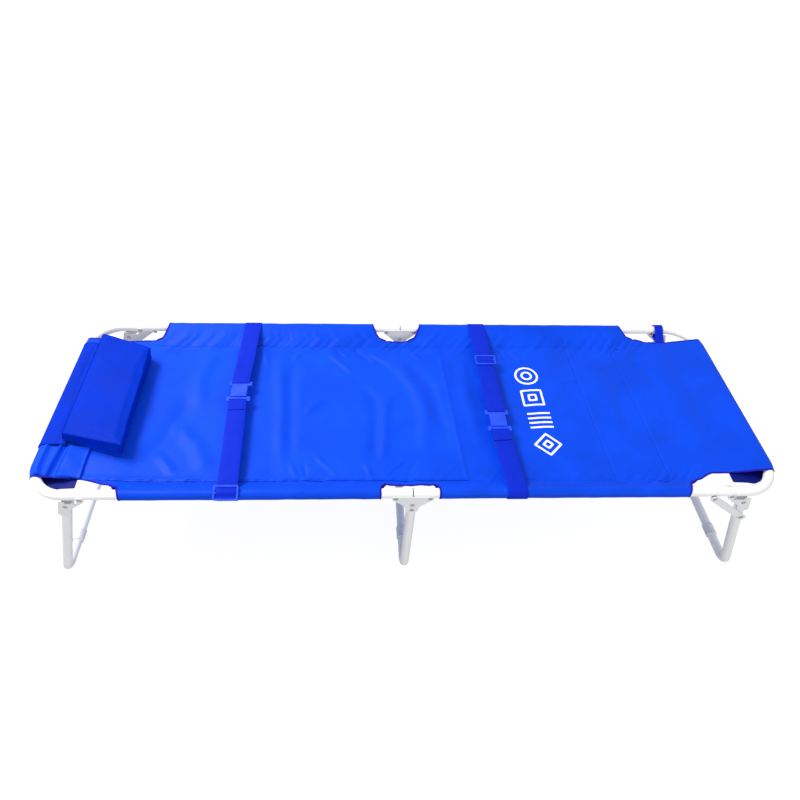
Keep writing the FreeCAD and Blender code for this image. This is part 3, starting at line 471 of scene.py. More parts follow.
def notch_end(out_y, half, side):
    """|x| where the rail sleeve ends at the corner cutout."""
    at_hem, at_rail, power = CUTOUT[half]
    hem = HEM_CORNER[half, side]
    t = np.clip((out_y - hem) / (RAIL_Y + SLEEVE_R - hem), 0, 1)
    return at_hem - (at_hem - at_rail) * t ** power


def bend_shift(y):
    """How far the end tube has curved inward at y."""
    past = np.clip(np.abs(y) - (RAIL_Y - BEND_R), 0, BEND_R * 0.98)
    return BEND_R - np.sqrt(BEND_R ** 2 - past ** 2)


CROSS_SEAMS = (0.516, 0.657)  # x of two seams across the foot part, at the far side


def seam_slant(y):
    """How much nearer the foot end a cross seam is at y than at the far side."""
    return 0.034 * np.clip(0.220 - y, 0, 0.5)


def slanted(x, y):
    """|x| of the foot half's columns, moved so that they follow the slanting cross seams."""
    return x + seam_slant(y) * smooth(x, 0.42, 0.50) * (1 - smooth(x, 0.665, 0.715))


# ---- the sheet's height

# Soft folds seen from above: points in mm, half width in mm and height in mm.
FOLDS = (
    (((-66, 190), (-5, 130), (36, 52), (52, -36), (40, -190)), 24, 5.0),
    (((3, 190), (78, 72), (93, -36), (109, -160)), 20, -3.6),
    (((-145, 86), (-91, 24), (-83, -60), (-96, -208)), 20, -3.4),
    (((-30, 40), (-51, 13), (-64, -60), (-72, -208)), 18, 3.2),
    (((-363, 218), (-361, 107), (-340, -36), (-332, -223)), 22, 4.0),
    (((-317, 172), (-331, 72), (-322, -120), (-311, -207)), 22, -3.6),
    (((-285, -36), (-229, 24)), 16, 2.4),
    (((-310, -208), (-290, -255)), 7, 2.2),
    (((-275, -208), (-266, -255)), 6, -2.0),
    (((-250, -180), (-185, -252)), 7, 2.4),
    (((-118, -206), (-101, -255)), 8, 2.2),
    (((-9, -192), (-75, -256)), 5, 2.4),
    (((20, -200), (-20, -258)), 7, -1.8),
    (((-224, 203), (-145, 115)), 9, 2.6),
    (((-204, 219), (-171, 181)), 6, -2.0),
    (((-108, 212), (-25, 144)), 8, 2.8),
    (((-150, 225), (-90, 160)), 8, -2.1),
    (((16, 222), (61, 174)), 7, 2.3),
    (((86, 221), (111, 198)), 6, 1.8),
    (((-300, 222), (-328, 172)), 8, 2.0),
    (((-420, 222), (-400, 150)), 9, 1.8),
    (((-520, -240), (-560, -150), (-640, -60)), 26, 3.6),
    (((-600, -240), (-660, -170)), 14, 2.6),
    (((-700, -220), (-640, -120), (-600, 40)), 30, -3.6),
    (((-560, 220), (-590, 100), (-575, -20)), 26, 3.0),
    (((338, 222), (365, 158)), 8, 2.2),
    (((300, 222), (322, 170)), 9, -1.9),
    (((470, 98), (512, 89)), 8, 1.6),
    (((180, 200), (176, 40), (190, -160)), 22, 2.8),
    (((330, 120), (345, -40), (330, -180)), 30, -2.4),
    (((560, 180), (600, 60), (590, -120)), 30, 2.2),
    (((700, 180), (760, 60), (740, -150)), 34, -1.8),
)
FOLD_GAIN = 1.45
MM = 0.001


def nearest_on_line(x, y, points):
    """Distance of x, y from a bent line, and how far along it the nearest place is, 0 to 1."""
    lengths = np.linalg.norm(np.diff(points, axis=0), axis=1)
    nearest, place, walked = np.full(np.shape(x), 1e9), np.zeros(np.shape(x)), 0.0
    for a, b, length in zip(points[:-1], points[1:], lengths):
        t = np.clip(((x - a[0]) * (b[0] - a[0]) + (y - a[1]) * (b[1] - a[1])) / length ** 2, 0, 1)
        away = np.hypot(x - a[0] - t * (b[0] - a[0]), y - a[1] - t * (b[1] - a[1]))
        place = np.where(away < nearest, (walked + t * length) / lengths.sum(), place)
        nearest = np.minimum(away, nearest)
        walked += length
    return nearest, place


def fold_height(x, y):
    """Summed height of the soft folds at x, y; each fades towards its ends."""
    total = np.zeros(np.shape(x))
    for points, width, height in FOLDS:
        nearest, place = nearest_on_line(x, y, np.array(points, float) * MM)
        ratio = nearest / (width * MM)
        taper = smooth(place, 0, 0.25) * (1 - smooth(place, 0.75, 1.0)) * 0.85 + 0.15
        total += FOLD_GAIN * height * MM * (1 - 0.6 * ratio ** 2) * np.exp(-ratio ** 2) * taper
    return total


SAG_END, SAG_MORE = 0.0015, 0.0102  # below the rails' axis at the ends, and added to that elsewhere


def sag(x):
    """How far the sheet hangs below the rails' axis."""
    return SAG_END + SAG_MORE * (1 - smooth(np.abs(x), 0.62, 0.825))


def sleeve_lean(x, side):
    """Slope of the sleeve's top layer from its seam up to the rail, in radians."""
    run, drop = RAIL_Y - SEAM_Y[side], sag(x)
    return np.arcsin(SLEEVE_R / np.hypot(run, drop)) + np.arctan2(drop, run)


PUCKER = {FAR: 0.0043, NEAR: 0.0030}  # height of the ripples along each rail sleeve's seam


def puckers(x, y):
    """Small diagonal ripples that the stitching pulls along each rail sleeve's seam."""
    far = y > 0
    out = np.abs(y) - np.where(far, SEAM_Y[FAR], SEAM_Y[NEAR])
    slant = x - 0.9 * out * np.where(far, 1, -1)
    strength = np.exp(-(out / np.where(out < 0, 0.03, 0.036)) ** 2)
    rough = wander(slant, 48, 3) * 0.7 + wander(slant, 110, 5) * 0.45
    local = 0.5 + 0.5 * np.clip(wander(x, 7, 11) + 0.4, 0, 1)
    return rough * strength * local * np.where(far, PUCKER[FAR], PUCKER[NEAR])


def cross_seams(x, y):
    """Two seams across the foot part, each a shallow groove beside a small ridge."""
    total = np.zeros(np.shape(x))
    for place in CROSS_SEAMS:
        past = x - place - seam_slant(y)
        total += -0.0008 * np.exp(-(past / 0.002) ** 2) + 0.0004 * np.exp(-((past - 0.005) / 0.003) ** 2)
    return total


def sheet_z(x, y):
    """Height of the sheet's middle surface, out to where the sleeves start round the rails."""
    x, y = np.broadcast_arrays(np.asarray(x, float), np.asarray(y, float))
    away = np.abs(x)
    seam = np.where(y >= 0, SEAM_Y[FAR], SEAM_Y[NEAR])
    lean = np.where(y >= 0, sleeve_lean(x, FAR), sleeve_lean(x, NEAR))
    out = np.abs(y) - seam
    in_sleeve = smooth(away, 0.045, 0.085) * (1 - smooth(away, 0.695, 0.745))
    slope = np.tan(lean) * in_sleeve + 0.12 * (1 - in_sleeve)
    dip = -0.0022 * (1 - np.clip(np.abs(y) / seam, 0, 1) ** 2) * (1 - smooth(away, 0.62, 0.8))
    wide = drift(x, y, 7.0, 2, 1.6) * 0.0012 + drift(x, y, 22.0, 6, 1.4) * 0.0005
    before_end = 1 - smooth(away, 0.74, 0.83)
    inside = 1 - smooth(out, 0.0, 0.04)
    ripple = wander(x, 55, 17) * 0.0016 * (1 - smooth(away, 0.0, 0.07)) * smooth(out, -0.03, 0.012)
    groove = -0.0006 * np.exp(-(out / 0.0022) ** 2)
    shaped = (fold_height(x, y) + wide) * inside + puckers(x, y) + groove
    return H - sag(x) + np.maximum(out, 0) * slope + dip + shaped * before_end + ripple + cross_seams(x, y)


# ---- building the sheet

GRID = 0.0045  # spacing of the sheet's vertices
LINE_POINTS, ARC_POINTS = 16, 22  # along the end sleeve's flat layers, and round its tube


def loop_profile(run, drop, count_line, count_arc):
    """A sleeve's cut, measured from the tube's axis: from the seam up over the tube, round it and back."""
    swing = math.acos(SLEEVE_R / math.hypot(run, drop))
    to_seam = math.atan2(-drop, -run)
    top_angle, low_angle = to_seam - swing, to_seam + swing
    turn = (top_angle - low_angle) % math.tau
    seam = np.array([-run, -drop])
    top = SLEEVE_R * np.array([math.cos(top_angle), math.sin(top_angle)])
    low = SLEEVE_R * np.array([math.cos(low_angle), math.sin(low_angle)])
    rising = [seam + (top - seam) * t for t in np.linspace(0, 1, count_line)[1:-1]]
    first = math.degrees(top_angle)
    round_tube = arc((0, 0), SLEEVE_R, first, first - math.degrees(turn), count_arc)
    falling = [low + (seam - low) * t for t in np.linspace(0, 1, count_line)[1:]]
    return np.array([*rising, *round_tube, *falling])


def across_rows():
    """Y of the sheet's rows, closer together at the seams."""
    finer = tuple((side * SEAM_Y[side], 0.0044, 0.0011) for side in (NEAR, FAR))
    return spaced(-HEM_MIDDLE[NEAR], HEM_MIDDLE[FAR], GRID, finer)


def spread_rows(rows, far, near):
    """Rows scaled on each side of the middle so that they end at far and -near."""
    return np.where(rows > 0, rows * far / HEM_MIDDLE[FAR], rows * near / HEM_MIDDLE[NEAR])


def along_columns(half):
    finer = tuple((place, 0.0066, 0.0011) for place in CROSS_SEAMS) if half == FOOT else ()
    return spaced(0.0, END_SEAM, GRID, finer)


def end_sleeve(half, ys):
    """Columns of the sleeve round the end tube, from the end seam over the tube and back."""
    profile = loop_profile(END_X - END_SEAM, sag(END_SEAM), LINE_POINTS, ARC_POINTS)
    count = len(profile)
    lower = count - LINE_POINTS + 1
    loops = []
    for index, (run, height) in enumerate(profile):
        under = smooth(index, lower - 3, lower + 3)
        far, near = (HEM_END[half, side] * (1 - under) + HEM_BELOW[half, side] * under
                     for side in (FAR, NEAR))
        y = spread_rows(ys, far, near)
        x = END_X + run - bend_shift(y) * smooth(run, -0.08, -0.02)
        lift = -0.0012 * smooth(index, count - 6, count - 1)
        ripple = wander(y, 18, 23 + half) * 0.0006 * math.sin(math.pi * min(index, 15) / 15)
        loops.append(np.stack([x * half, y, H + height + lift + ripple], -1))
    return np.stack(loops, 1)


def inner_grid(half, xs):
    """The single layer and, past its end seam, the sleeve round the end tube."""
    ys = across_rows()
    x, y = np.meshgrid(xs, ys)
    y = spread_rows(y, hem_y(x, half, FAR), hem_y(x, half, NEAR))
    if half == FOOT:
        x = slanted(x, y)
    top = np.stack([x * half, y, sheet_z(x * half, y)], -1)
    return np.concatenate([top, end_sleeve(half, ys)], 1)


def rail_sleeve(half, side, xs):
    """Rows of the sleeve round one rail, from the hem line over the rail and back below to the seam."""
    first = int(np.searchsorted(xs, notch_start(0.0, half, side)))
    last = int(np.searchsorted(xs, notch_end(0.0, half, side))) - 1
    base = xs[first:last + 1]
    share = (base - base[0]) / (base[-1] - base[0])
    hem = hem_y(base, half, side)
    if half == FOOT:
        base = slanted(base, hem * side)

    def stretched(out_y):
        blend = smooth(out_y, hem, hem + 0.012)
        start = base[0] * (1 - blend) + notch_start(out_y, half, side) * blend
        end = base[-1] * (1 - blend) + notch_end(out_y, half, side) * blend
        return start + share * (end - start)

    def row(x, out_y, z):
        return np.stack([x * half, out_y * side, z], -1)

    profiles = np.array([loop_profile(RAIL_Y - SEAM_Y[side], float(sag(v)), 2, 26) for v in base])
    z_hem = sheet_z(base * half, hem * side)
    rows = [row(base, hem, z_hem)]
    top_y, top_z = RAIL_Y + profiles[:, 0, 0], H + profiles[:, 0, 1]
    for t in np.linspace(0, 1, 14)[1:-1]:
        y = hem + (top_y - hem) * t
        x = stretched(y)
        z = z_hem + (top_z - z_hem) * t + puckers(x * half, y * side) * 3.2 * t * (1 - t)
        rows.append(row(x, y, z))
    for k in range(profiles.shape[1] - 1):
        x = stretched(RAIL_Y + profiles[:, k, 0])
        swell = 1 + 0.035 * wander(x * half + k * 0.004, 30, 31 + side)
        rows.append(row(x, RAIL_Y + profiles[:, k, 0] * swell, H + profiles[:, k, 1] * swell))
    low_y, low_z = np.abs(rows[-1][:, 1]), rows[-1][:, 2]
    for t in np.linspace(0, 1, 9)[1:]:
        y = low_y + (SEAM_Y[side] - 0.006 - low_y) * t
        x = stretched(y)
        rows.append(row(x, y, low_z + (H - sag(x) - 0.0016 - low_z) * t))
    return np.stack(rows), first, last


def paint_shade_below(made):
    """Painted shade: the end sleeve's lower layer, seen through the corner cutouts, is the cloth's inner
    face, coloured dark navy for the shade it lies in under the upper layer and the tube.
    """
    made.data.materials.append(MAT["painted_shade_under_fabric"])
    for face in made.data.polygons:
        x, y, z = face.center
        in_sleeve = END_SEAM - 0.001 < abs(x) < END_X + 0.002
        face.material_index = int(in_sleeve and abs(y) > 0.150 and z < H - 0.0023)


def sheet_half(name, half):
    """One half of the sheet with its sleeves, and the paths of its hems."""
    xs = along_columns(half)
    grid = inner_grid(half, xs)
    parts = [(grid.reshape(-1, 3), grid_faces(*grid.shape[:2]))]
    end_of_arc = len(xs) + LINE_POINTS + ARC_POINTS - 4
    hems = []
    for side in (FAR, NEAR):
        sleeve, first, last = rail_sleeve(half, side, xs)
        parts.append((sleeve.reshape(-1, 3), grid_faces(*sleeve.shape[:2])))
        edge = grid[-1 if side == FAR else 0]
        hems.append(np.concatenate([edge[:first + 1], sleeve[1:, 0]]))
        hems.append(np.concatenate([sleeve[::-1, -1][:-1], edge[last:end_of_arc]]))
    made = joined(f"cloth_{name}", parts, MAT["sheet_fabric"])
    clean(made, weld=0.00002)
    # paints shade on the end sleeves' lower layer, low faces given the dark navy cloth
    paint_shade_below(made)
    return thicken(made, CLOTH), hems


def hem_normals(path):
    """Outward direction of the fabric at points of a hem, round the rails and the end tube."""
    x, y, z = path[:, 0], path[:, 1], path[:, 2] - H
    zero = np.zeros(len(path))
    past_rail = np.where(np.abs(y) > RAIL_Y - 0.004, np.abs(y) - RAIL_Y, 0) * np.sign(y)
    past_end = np.where(np.abs(x) > END_X - 0.004, np.abs(x) - END_X, 0) * np.sign(x)
    around_rail = np.abs(y) > HEM_LIMIT
    around_end = (np.abs(x) > END_SEAM) & ~around_rail
    normals = np.tile((0.0, 0.0, 1.0), (len(path), 1))
    normals[around_rail] = np.stack([zero, past_rail, z], -1)[around_rail]
    normals[around_end] = np.stack([past_end, zero, z], -1)[around_end]
    normals[np.linalg.norm(normals, axis=1) < 1e-4] = (0, 0, 1)
    return normals / np.linalg.norm(normals, axis=1, keepdims=True)


def thinned(path, least):
    """The path without points that are closer than least to the one before."""
    keep = [0]
    for index in range(1, len(path)):
        if np.linalg.norm(path[index] - path[keep[-1]]) > least:
            keep.append(index)
    return path[keep]


TAPE_WIDTH, TAPE_THICK, TAPE_STEP = 0.0052, 0.0024, 0.0022


def hem_tapes(name, hems):
    """Folded tape over every free edge of the sheet."""
    parts = []
    for path in hems:
        path = thinned(path, TAPE_STEP)
        across = np.cross(hem_normals(path), np.gradient(path, axis=0))
        across /= np.linalg.norm(across, axis=1, keepdims=True) + 1e-12
        parts.append(ribbon_parts(path, across, TAPE_WIDTH, TAPE_THICK))
    return bands(f"hem_{name}", parts, MAT["hem_tape"])


# ---- second layer and stitches

PATCH_LIFT = 0.00105  # of the second layer's middle above the sheet's
PATCH_CLOTH = 0.0008
PATCH_INSET = 0.002  # from the rail sleeves' seams
PATCH_HEAD = 0.826  # |x| of its end at the head
PATCH_Y = (PATCH_INSET - SEAM_Y[NEAR], SEAM_Y[FAR] - PATCH_INSET)


def patch_edge(y):
    """X of the second layer's sewn edge on the foot half."""
    return 0.133 - 0.058 * y


def patch_half(name, half):
    """The second layer of cloth on top of the sheet, with a turned edge."""
    low, high = PATCH_Y
    ys = spaced(low, high, GRID, ((low + 0.004, 0.004, 0.001), (high - 0.004, 0.004, 0.001)))
    if half == HEAD:
        share = spaced(0.0, 1.0, 0.0055, ((0.98, 0.02, 0.004),))
    else:
        share = spaced(0.0, 1.0, 0.034, ((0.95, 0.05, 0.008),))
    y, t = np.meshgrid(ys, share, indexing="ij")
    reach = PATCH_HEAD if half == HEAD else patch_edge(y)
    x = half * t * reach
    from_side = np.minimum(y - low, high - y)
    edge = np.minimum(from_side, 1.0 if half == HEAD else (1 - t) * reach)
    turned = 0.0015 * np.exp(-((edge - 0.006) / 0.0055) ** 2)
    stitched = -0.0007 * np.exp(-((edge - 0.0035) / 0.0013) ** 2)
    grid = np.stack([x, y, sheet_z(x, y) + PATCH_LIFT + turned + stitched], -1)
    return thicken(grid_object(f"second_layer_{name}", grid, MAT["patch_fabric"]), PATCH_CLOTH)


STITCH_PITCH, STITCH_HALF, STITCH_WIDE = 0.0042, 0.0015, 0.00042
RAIL_THREAD = (0.034, 0.733)  # |x| between which the rail sleeves' seams are sewn
END_THREAD = (-0.243, 0.240)  # y between which the end sleeves' seams are sewn
PATCH_THREAD = 0.0035  # from the second layer's edge to its stitches


def stitches_along(path, lift=0.0):
    """Thread stitches along an x, y line laid on the sheet."""
    path = np.array(path, float)
    lengths = np.linalg.norm(np.diff(path, axis=0), axis=1)
    walked = np.concatenate([[0], np.cumsum(lengths)])
    parts = []
    for centre in np.arange(STITCH_PITCH / 2, walked[-1], STITCH_PITCH):
        ends = centre + np.array([-STITCH_HALF, STITCH_HALF])
        x, y = np.interp(ends, walked, path[:, 0]), np.interp(ends, walked, path[:, 1])
        points = np.stack([x, y, sheet_z(x, y) + CLOTH / 2 + lift], -1)
        parts.append(stitch(*points, STITCH_WIDE))
    return parts


def stitching(name, half):
    """All thread seen on one half of the sheet."""
    rail_seams = [[(half * x, y) for x in RAIL_THREAD] for y in (SEAM_Y[FAR], -SEAM_Y[NEAR])]
    parts = [piece for line in rail_seams for piece in stitches_along(line)]
    end_seam = [(half * (END_SEAM + 0.001), y) for y in END_THREAD]
    parts += stitches_along(end_seam, 0.0002)
    on_patch = PATCH_LIFT + 0.0007
    for y in (PATCH_Y[1] - PATCH_THREAD, PATCH_Y[0] + PATCH_THREAD):
        end = -0.824 if half == HEAD else patch_edge(y) - 0.005
        parts += stitches_along([(0.0, y), (end, y)], on_patch)
    if half == FOOT:
        near_far = (PATCH_Y[1] - 0.004, PATCH_Y[0] + 0.004)
        parts += stitches_along([(patch_edge(y) - 0.005, y) for y in near_far], on_patch)
        for place in CROSS_SEAMS:
            parts += stitches_along([(place - 0.003 + seam_slant(y), y) for y in (-0.268, 0.220, 0.250)])
    made = joined(f"stitches_{name}", parts, MAT["thread"])
    made.data.shade_smooth()
    return made


def build_sheet():
    """Both halves of the sheet and its second layer, with their hems and stitches."""
    for name, half in (("head", HEAD), ("foot", FOOT)):
        cloth, hems = sheet_half(name, half)
        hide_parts(f"sheet_{name}", "sheet_middle")
        layer = patch_half(name, half)
        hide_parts(f"patch_{name}", "patch_middle")
        pieces = ((cloth, "sheet_fabric"), (layer, "patch_fabric"),
                  (hem_tapes(name, hems), "sheet_fabric"), (stitching(name, half), "sheet_fabric"))
        for made, slot in pieces:
            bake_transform(made)


# ---- printed marks

MARK_LINE = 0.0062  # width of the painted lines
RINGS, BOX, BARS, TURNED = (0.368, 0.111), (0.370, 0.025), (0.375, -0.060), (0.378, -0.146)


def mark_strip(points):
    """A painted line through x, y points, as a narrow grid laid on the sheet."""
    points = np.array(points, float)
    dense = []
    for a, b in zip(points[:-1], points[1:]):
        steps = max(2, int(np.linalg.norm(b - a) / 0.003))
        dense += [a + (b - a) * t for t in np.linspace(0, 1, steps)[:-1]]
    dense = np.array(dense + [points[-1]])
    step = np.gradient(dense, axis=0)
    if np.linalg.norm(points[0] - points[-1]) < 1e-6:
        step[0] = step[-1] = dense[1] - dense[-2]
    step /= np.linalg.norm(step, axis=1, keepdims=True)
    side = np.stack([-step[:, 1], step[:, 0]], -1) * MARK_LINE / 2
    rows = np.stack([dense - side, dense, dense + side])
    z = sheet_z(rows[..., 0], rows[..., 1]) + CLOTH / 2 + 0.00022
    return np.concatenate([rows, z[..., None]], -1).reshape(-1, 3), grid_faces(3, len(dense))


def square_points(centre, half, turn=0):
    """Outline of a square with the given half side, turned in degrees."""
    return arc(centre, half * math.sqrt(2), 45 + turn, 405 + turn, 5)


def build_marks():
    """Four plain white signs in a row: rings, squares, bars and a diamond."""
    lines = [arc(RINGS, radius, 0, 360, 41) for radius in (0.032, 0.014)]
    lines += [square_points(BOX, half) for half in (0.028, 0.010)]
    lines += [[(BARS[0] - 0.032, BARS[1] + shift), (BARS[0] + 0.032, BARS[1] + shift)]
              for shift in (-0.025, -0.0083, 0.0083, 0.025)]
    lines += [square_points(TURNED, half, 45) for half in (0.025, 0.009)]
    made = joined("printed_marks", [mark_strip(line) for line in lines], MAT["print_white"])
    thicken(made, 0.00012)
    dress(made, "foot_half", "sheet_fabric")


# ---- pillow

PILLOW_TOP = H + 0.0462
# Corners of the top and of the underside (x, y): [outer or inner edge][far or near end].
PILLOW_UPPER = (((-0.889, 0.230), (-0.888, -0.154)), ((-0.734, 0.168), (-0.726, -0.193)))
PILLOW_LOWER = (((-0.892, 0.226), (-0.897, -0.150)), ((-0.741, 0.170), (-0.738, -0.197)))
# Where the form's crowned faces are held: two points of its far and near edge, x of its long edges.
HOLD_FAR = ((-0.884, 0.226), (-0.735, 0.164))
HOLD_NEAR = ((-0.886, -0.152), (-0.727, -0.190))
HOLD_OUTER, HOLD_INNER = -0.888, -0.731
LOW_SEAM = 0.08  # height of the lower seam, as a share of the pillow's
VOXEL = 0.0045
PUFF_PRESSURE, PUFF_CAP, PUFF_FRAMES = 4.0, 0.0045, 20


def pillow_floor(x):
    """Underside of the pillow: on the sheet, and lifted by the folded cloth at its outer edge."""
    return H + 0.002 + 0.0135 * smooth(-x, 0.79, 0.885)


def pillow_point(u, v, w):
    """A point of the box form: u outer to inner, v far to near, w underside to top."""
    u, v = 0.008 + 0.984 * u, 0.004 + 0.992 * v
    weights = np.outer((1 - u, u), (1 - v, v))
    upper, lower = (np.tensordot(weights, np.array(level), 2) for level in (PILLOW_UPPER, PILLOW_LOWER))
    x, y = lower * (1 - w) + upper * w
    low = float(pillow_floor(x))
    return np.array([x, y, low + (PILLOW_TOP - low) * w])


def box_surface(cells):
    """Unit-box surface points and quads with the given number of cells each way."""
    index, points, faces = {}, [], []

    def vertex(key):
        if key not in index:
            index[key] = len(points)
            points.append(tuple(k / n for k, n in zip(key, cells)))
        return index[key]

    for axis in range(3):
        a, b = [k for k in range(3) if k != axis]
        for level in (0, cells[axis]):
            for i, j in np.ndindex(cells[a], cells[b]):
                quad = []
                for di, dj in ((0, 0), (1, 0), (1, 1), (0, 1)):
                    key = [0, 0, 0]
                    key[axis], key[a], key[b] = level, i + di, j + dj
                    quad.append(vertex(tuple(key)))
                faces.append(tuple(quad))
    return points, faces


def vertex_array(made):
    return np.array([v.co for v in made.data.vertices])


def move_vertices(made, places):
    made.data.vertices.foreach_set("co", places.astype(np.float32).ravel())
    made.data.update()


def add_cloth(made, pressure):
    cloth = made.modifiers.new("cloth", "CLOTH")
    cloth.settings.use_pressure = True
    cloth.settings.uniform_pressure_force = pressure
    cloth.settings.quality = 6
    cloth.settings.tension_stiffness = 12
    cloth.settings.compression_stiffness = 10
    cloth.settings.bending_stiffness = 1.2
    cloth.settings.effector_weights.gravity = 0
    cloth.collision_settings.use_collision = False


def inflate(made, pressure, cap, hold):
    """Puff a closed mesh up as cloth; a point moves at most cap, times its share from hold(points)."""
    rest = vertex_array(made)
    add_cloth(made, pressure)
    for number in range(PUFF_FRAMES):
        bpy.context.scene.frame_set(number + 1)
    moved = vertex_array(made.evaluated_get(bpy.context.evaluated_depsgraph_get())) - rest
    made.modifiers.clear()
    bpy.context.scene.frame_set(1)
    length = np.linalg.norm(moved, axis=1, keepdims=True)
    moved *= np.minimum(1.0, cap / np.maximum(length, 1e-9))
    move_vertices(made, rest + moved * hold(rest)[:, None])


def on_line(x, line):
    """Y at x of the straight line through two points."""
    (x0, y0), (x1, y1) = line
    return y0 + (y1 - y0) * (x - x0) / (x1 - x0)


def pillow_hold(points):
    """Edges of the box form move little, so that its faces crown between them; the underside stays flat."""
    x, y, z = points.T
    ends = np.minimum(y - on_line(x, HOLD_NEAR), on_line(x, HOLD_FAR) - y)
    sides = np.minimum(x - HOLD_OUTER, HOLD_INNER - x)
    from_edge = np.sort(np.stack([ends, sides, PILLOW_TOP - z], -1), axis=1)[:, 1]
    above = smooth(z, pillow_floor(x) + 0.002, pillow_floor(x) + 0.016)
    return (0.15 + 0.85 * smooth(from_edge, 0.001, 0.022)) * (0.05 + 0.95 * above)


def crease(made):
    """Shallow waves on the pillow's top."""
    co = vertex_array(made)
    x, y, z = co.T
    waves = drift(x, y, 26.0, 9, 2.5) * 0.0009 + drift(x, y, 9.0, 12, 2.0) * 0.0009
    co[:, 2] += waves * smooth(z, PILLOW_TOP - 0.03, PILLOW_TOP)
    move_vertices(made, co)


def build_pillow():
    """A boxed cushion: crowned top, sides that bulge a little, and raised seams along its edges."""
    points, faces = box_surface((26, 60, 8))
    shaped = [pillow_point(*point) for point in points]
    made = make_object("pillow_cover", shaped, faces, MAT["pillow_fabric"])
    clean(made, weld=0.00001)
    remesh = made.modifiers.new("remesh", "REMESH")
    remesh.mode = "VOXEL"
    remesh.voxel_size = VOXEL
    mesh = evaluated(made)
    made.modifiers.clear()
    made.data = mesh
    inflate(made, PUFF_PRESSURE, PUFF_CAP, pillow_hold)
    crease(made)
    made.data.materials.clear()
    made.data.materials.append(MAT["pillow_fabric"])
    even = made.modifiers.new("even", "SMOOTH")
    even.iterations = 1
    even.factor = 0.5
    finer = made.modifiers.new("finer", "SUBSURF")
    finer.levels = finer.render_levels = 1
    bake(made, 60)
    dress(made, "head_half", "pillow_fabric", "pillow")
    pillow_seams(made)


def pillow_seams(cushion):
    """Sewn edge seams laid on the cushion's surface along its box edges."""
    tree = BVHTree.FromObject(cushion, bpy.context.evaluated_depsgraph_get())
    long, short, upright = np.linspace(0, 1, 90), np.linspace(0, 1, 40), np.linspace(0.1, 1, 12)
    runs = [[(0, t, 1) for t in long]]
    runs += [[(t, v, 1) for t in short] for v in (0, 1)]
    runs += [[(u, v, t) for t in upright] for v in (1, 0) for u in (0, 1)]
    runs += [[(t, 1, LOW_SEAM) for t in short], [(1, t, LOW_SEAM) for t in long]]
    parts = []
    for run in runs:
        found = [tree.find_nearest(Vector(pillow_point(*point)))[:2] for point in run]
        path = np.array([np.array(place) + np.array(normal) * 0.0004 for place, normal in found])
        across = np.array([np.array(normal) for _, normal in found])
        parts.append(ribbon_parts(softened(path, 3), across, 0.0028, 0.0011))
    dress(bands("pillow_seams", parts, MAT["pillow_fabric"]), "head_half", "pillow_fabric")


# ---- flap and folded strip

# The flap's cut from the pillow over the head tube: x, and height above the tube's axis.
FLAP_PROFILE = ((-0.880, 0.0150), (-0.886, 0.0185), (-0.892, 0.0205), (-0.900, 0.0205), (-0.908, 0.0198),
                (-0.917, 0.0192), (-0.926, 0.0186), (-0.934, 0.0176), (-0.9415, 0.0155), (-0.9480, 0.0118),
                (-0.9524, 0.0066), (-0.9543, 0.0004), (-0.9546, -0.0060), (-0.9540, -0.0105))
FLAP_Y = (-0.163, 0.214)
FLAP_HEM, FLAP_HEM_THICK = 0.006, 0.0021
FLAP_WAVE = 0.0016
FLAP_TROUGH = (-0.905, 0.007, 0.0022)  # x of its middle, spread and depth


def flap_grid():
    """Middle surface of the cloth that joins the pillow to the head end, over the head tube and down."""
    line = resample(FLAP_PROFILE, 44)
    u, y = np.meshgrid(np.arange(len(line)), np.linspace(*FLAP_Y, 90), indexing="xy")
    x, z = line[u, 0], line[u, 1] + H
    t = u / (len(line) - 1)
    slide = 0.004 * (y - 0.04) / 0.2 * (1 - t)
    y = y + 0.012 * (t - 0.5) * smooth(y, 0.10, 0.21)
    wave = drift(x, y, 30.0, 15, 3.5) * FLAP_WAVE * np.sin(math.pi * np.clip(t * 1.25, 0, 1))
    place, spread, depth = FLAP_TROUGH
    trough = -depth * np.exp(-((x - place + 0.012 * wander(y, 4, 19)) / spread) ** 2)
    follow = bend_shift(y) * smooth(t, 0.4, 0.7)
    frayed = 0.0015 * wander(x, 60, 21) * (np.abs(y) > 0.15)
    return np.stack([x + slide + follow, y + frayed, z + wave + trough], -1)


def build_flap():
    """The head flap and the tape along three of its edges."""
    grid = flap_grid()
    flap = thicken(grid_object("head_flap", grid, MAT["pillow_fabric"]), CLOTH)
    dress(flap, "head_half", "pillow_fabric", "pillow_flap")
    edges = ((grid[0], (0, 1, 0)), (grid[-1], (0, 1, 0)), (grid[:, -1], (0, 0, 1)))
    parts = [ribbon_parts(edge, across, FLAP_HEM, FLAP_HEM_THICK) for edge, across in edges]
    dress(bands("head_flap_hems", parts, MAT["pillow_fabric"]), "head_half", "pillow_fabric")


STRIP_X = (-0.9405, -0.820)
STRIP_Y = (-0.2660, -0.168)
STRIP_RIDGES = ((-0.9285, 0.0064, 0.0070), (-0.9015, 0.0056, 0.0100))  # x of its crest, spread and height
RIDGE_LEANS = (0.3, 1.0)
STRIP_FOLD = (-0.8860, 0.0150, 0.0105)  # x where it starts, length of its slope and height
STRIP_FLAT = 0.0002  # cloth lower than this is cut away


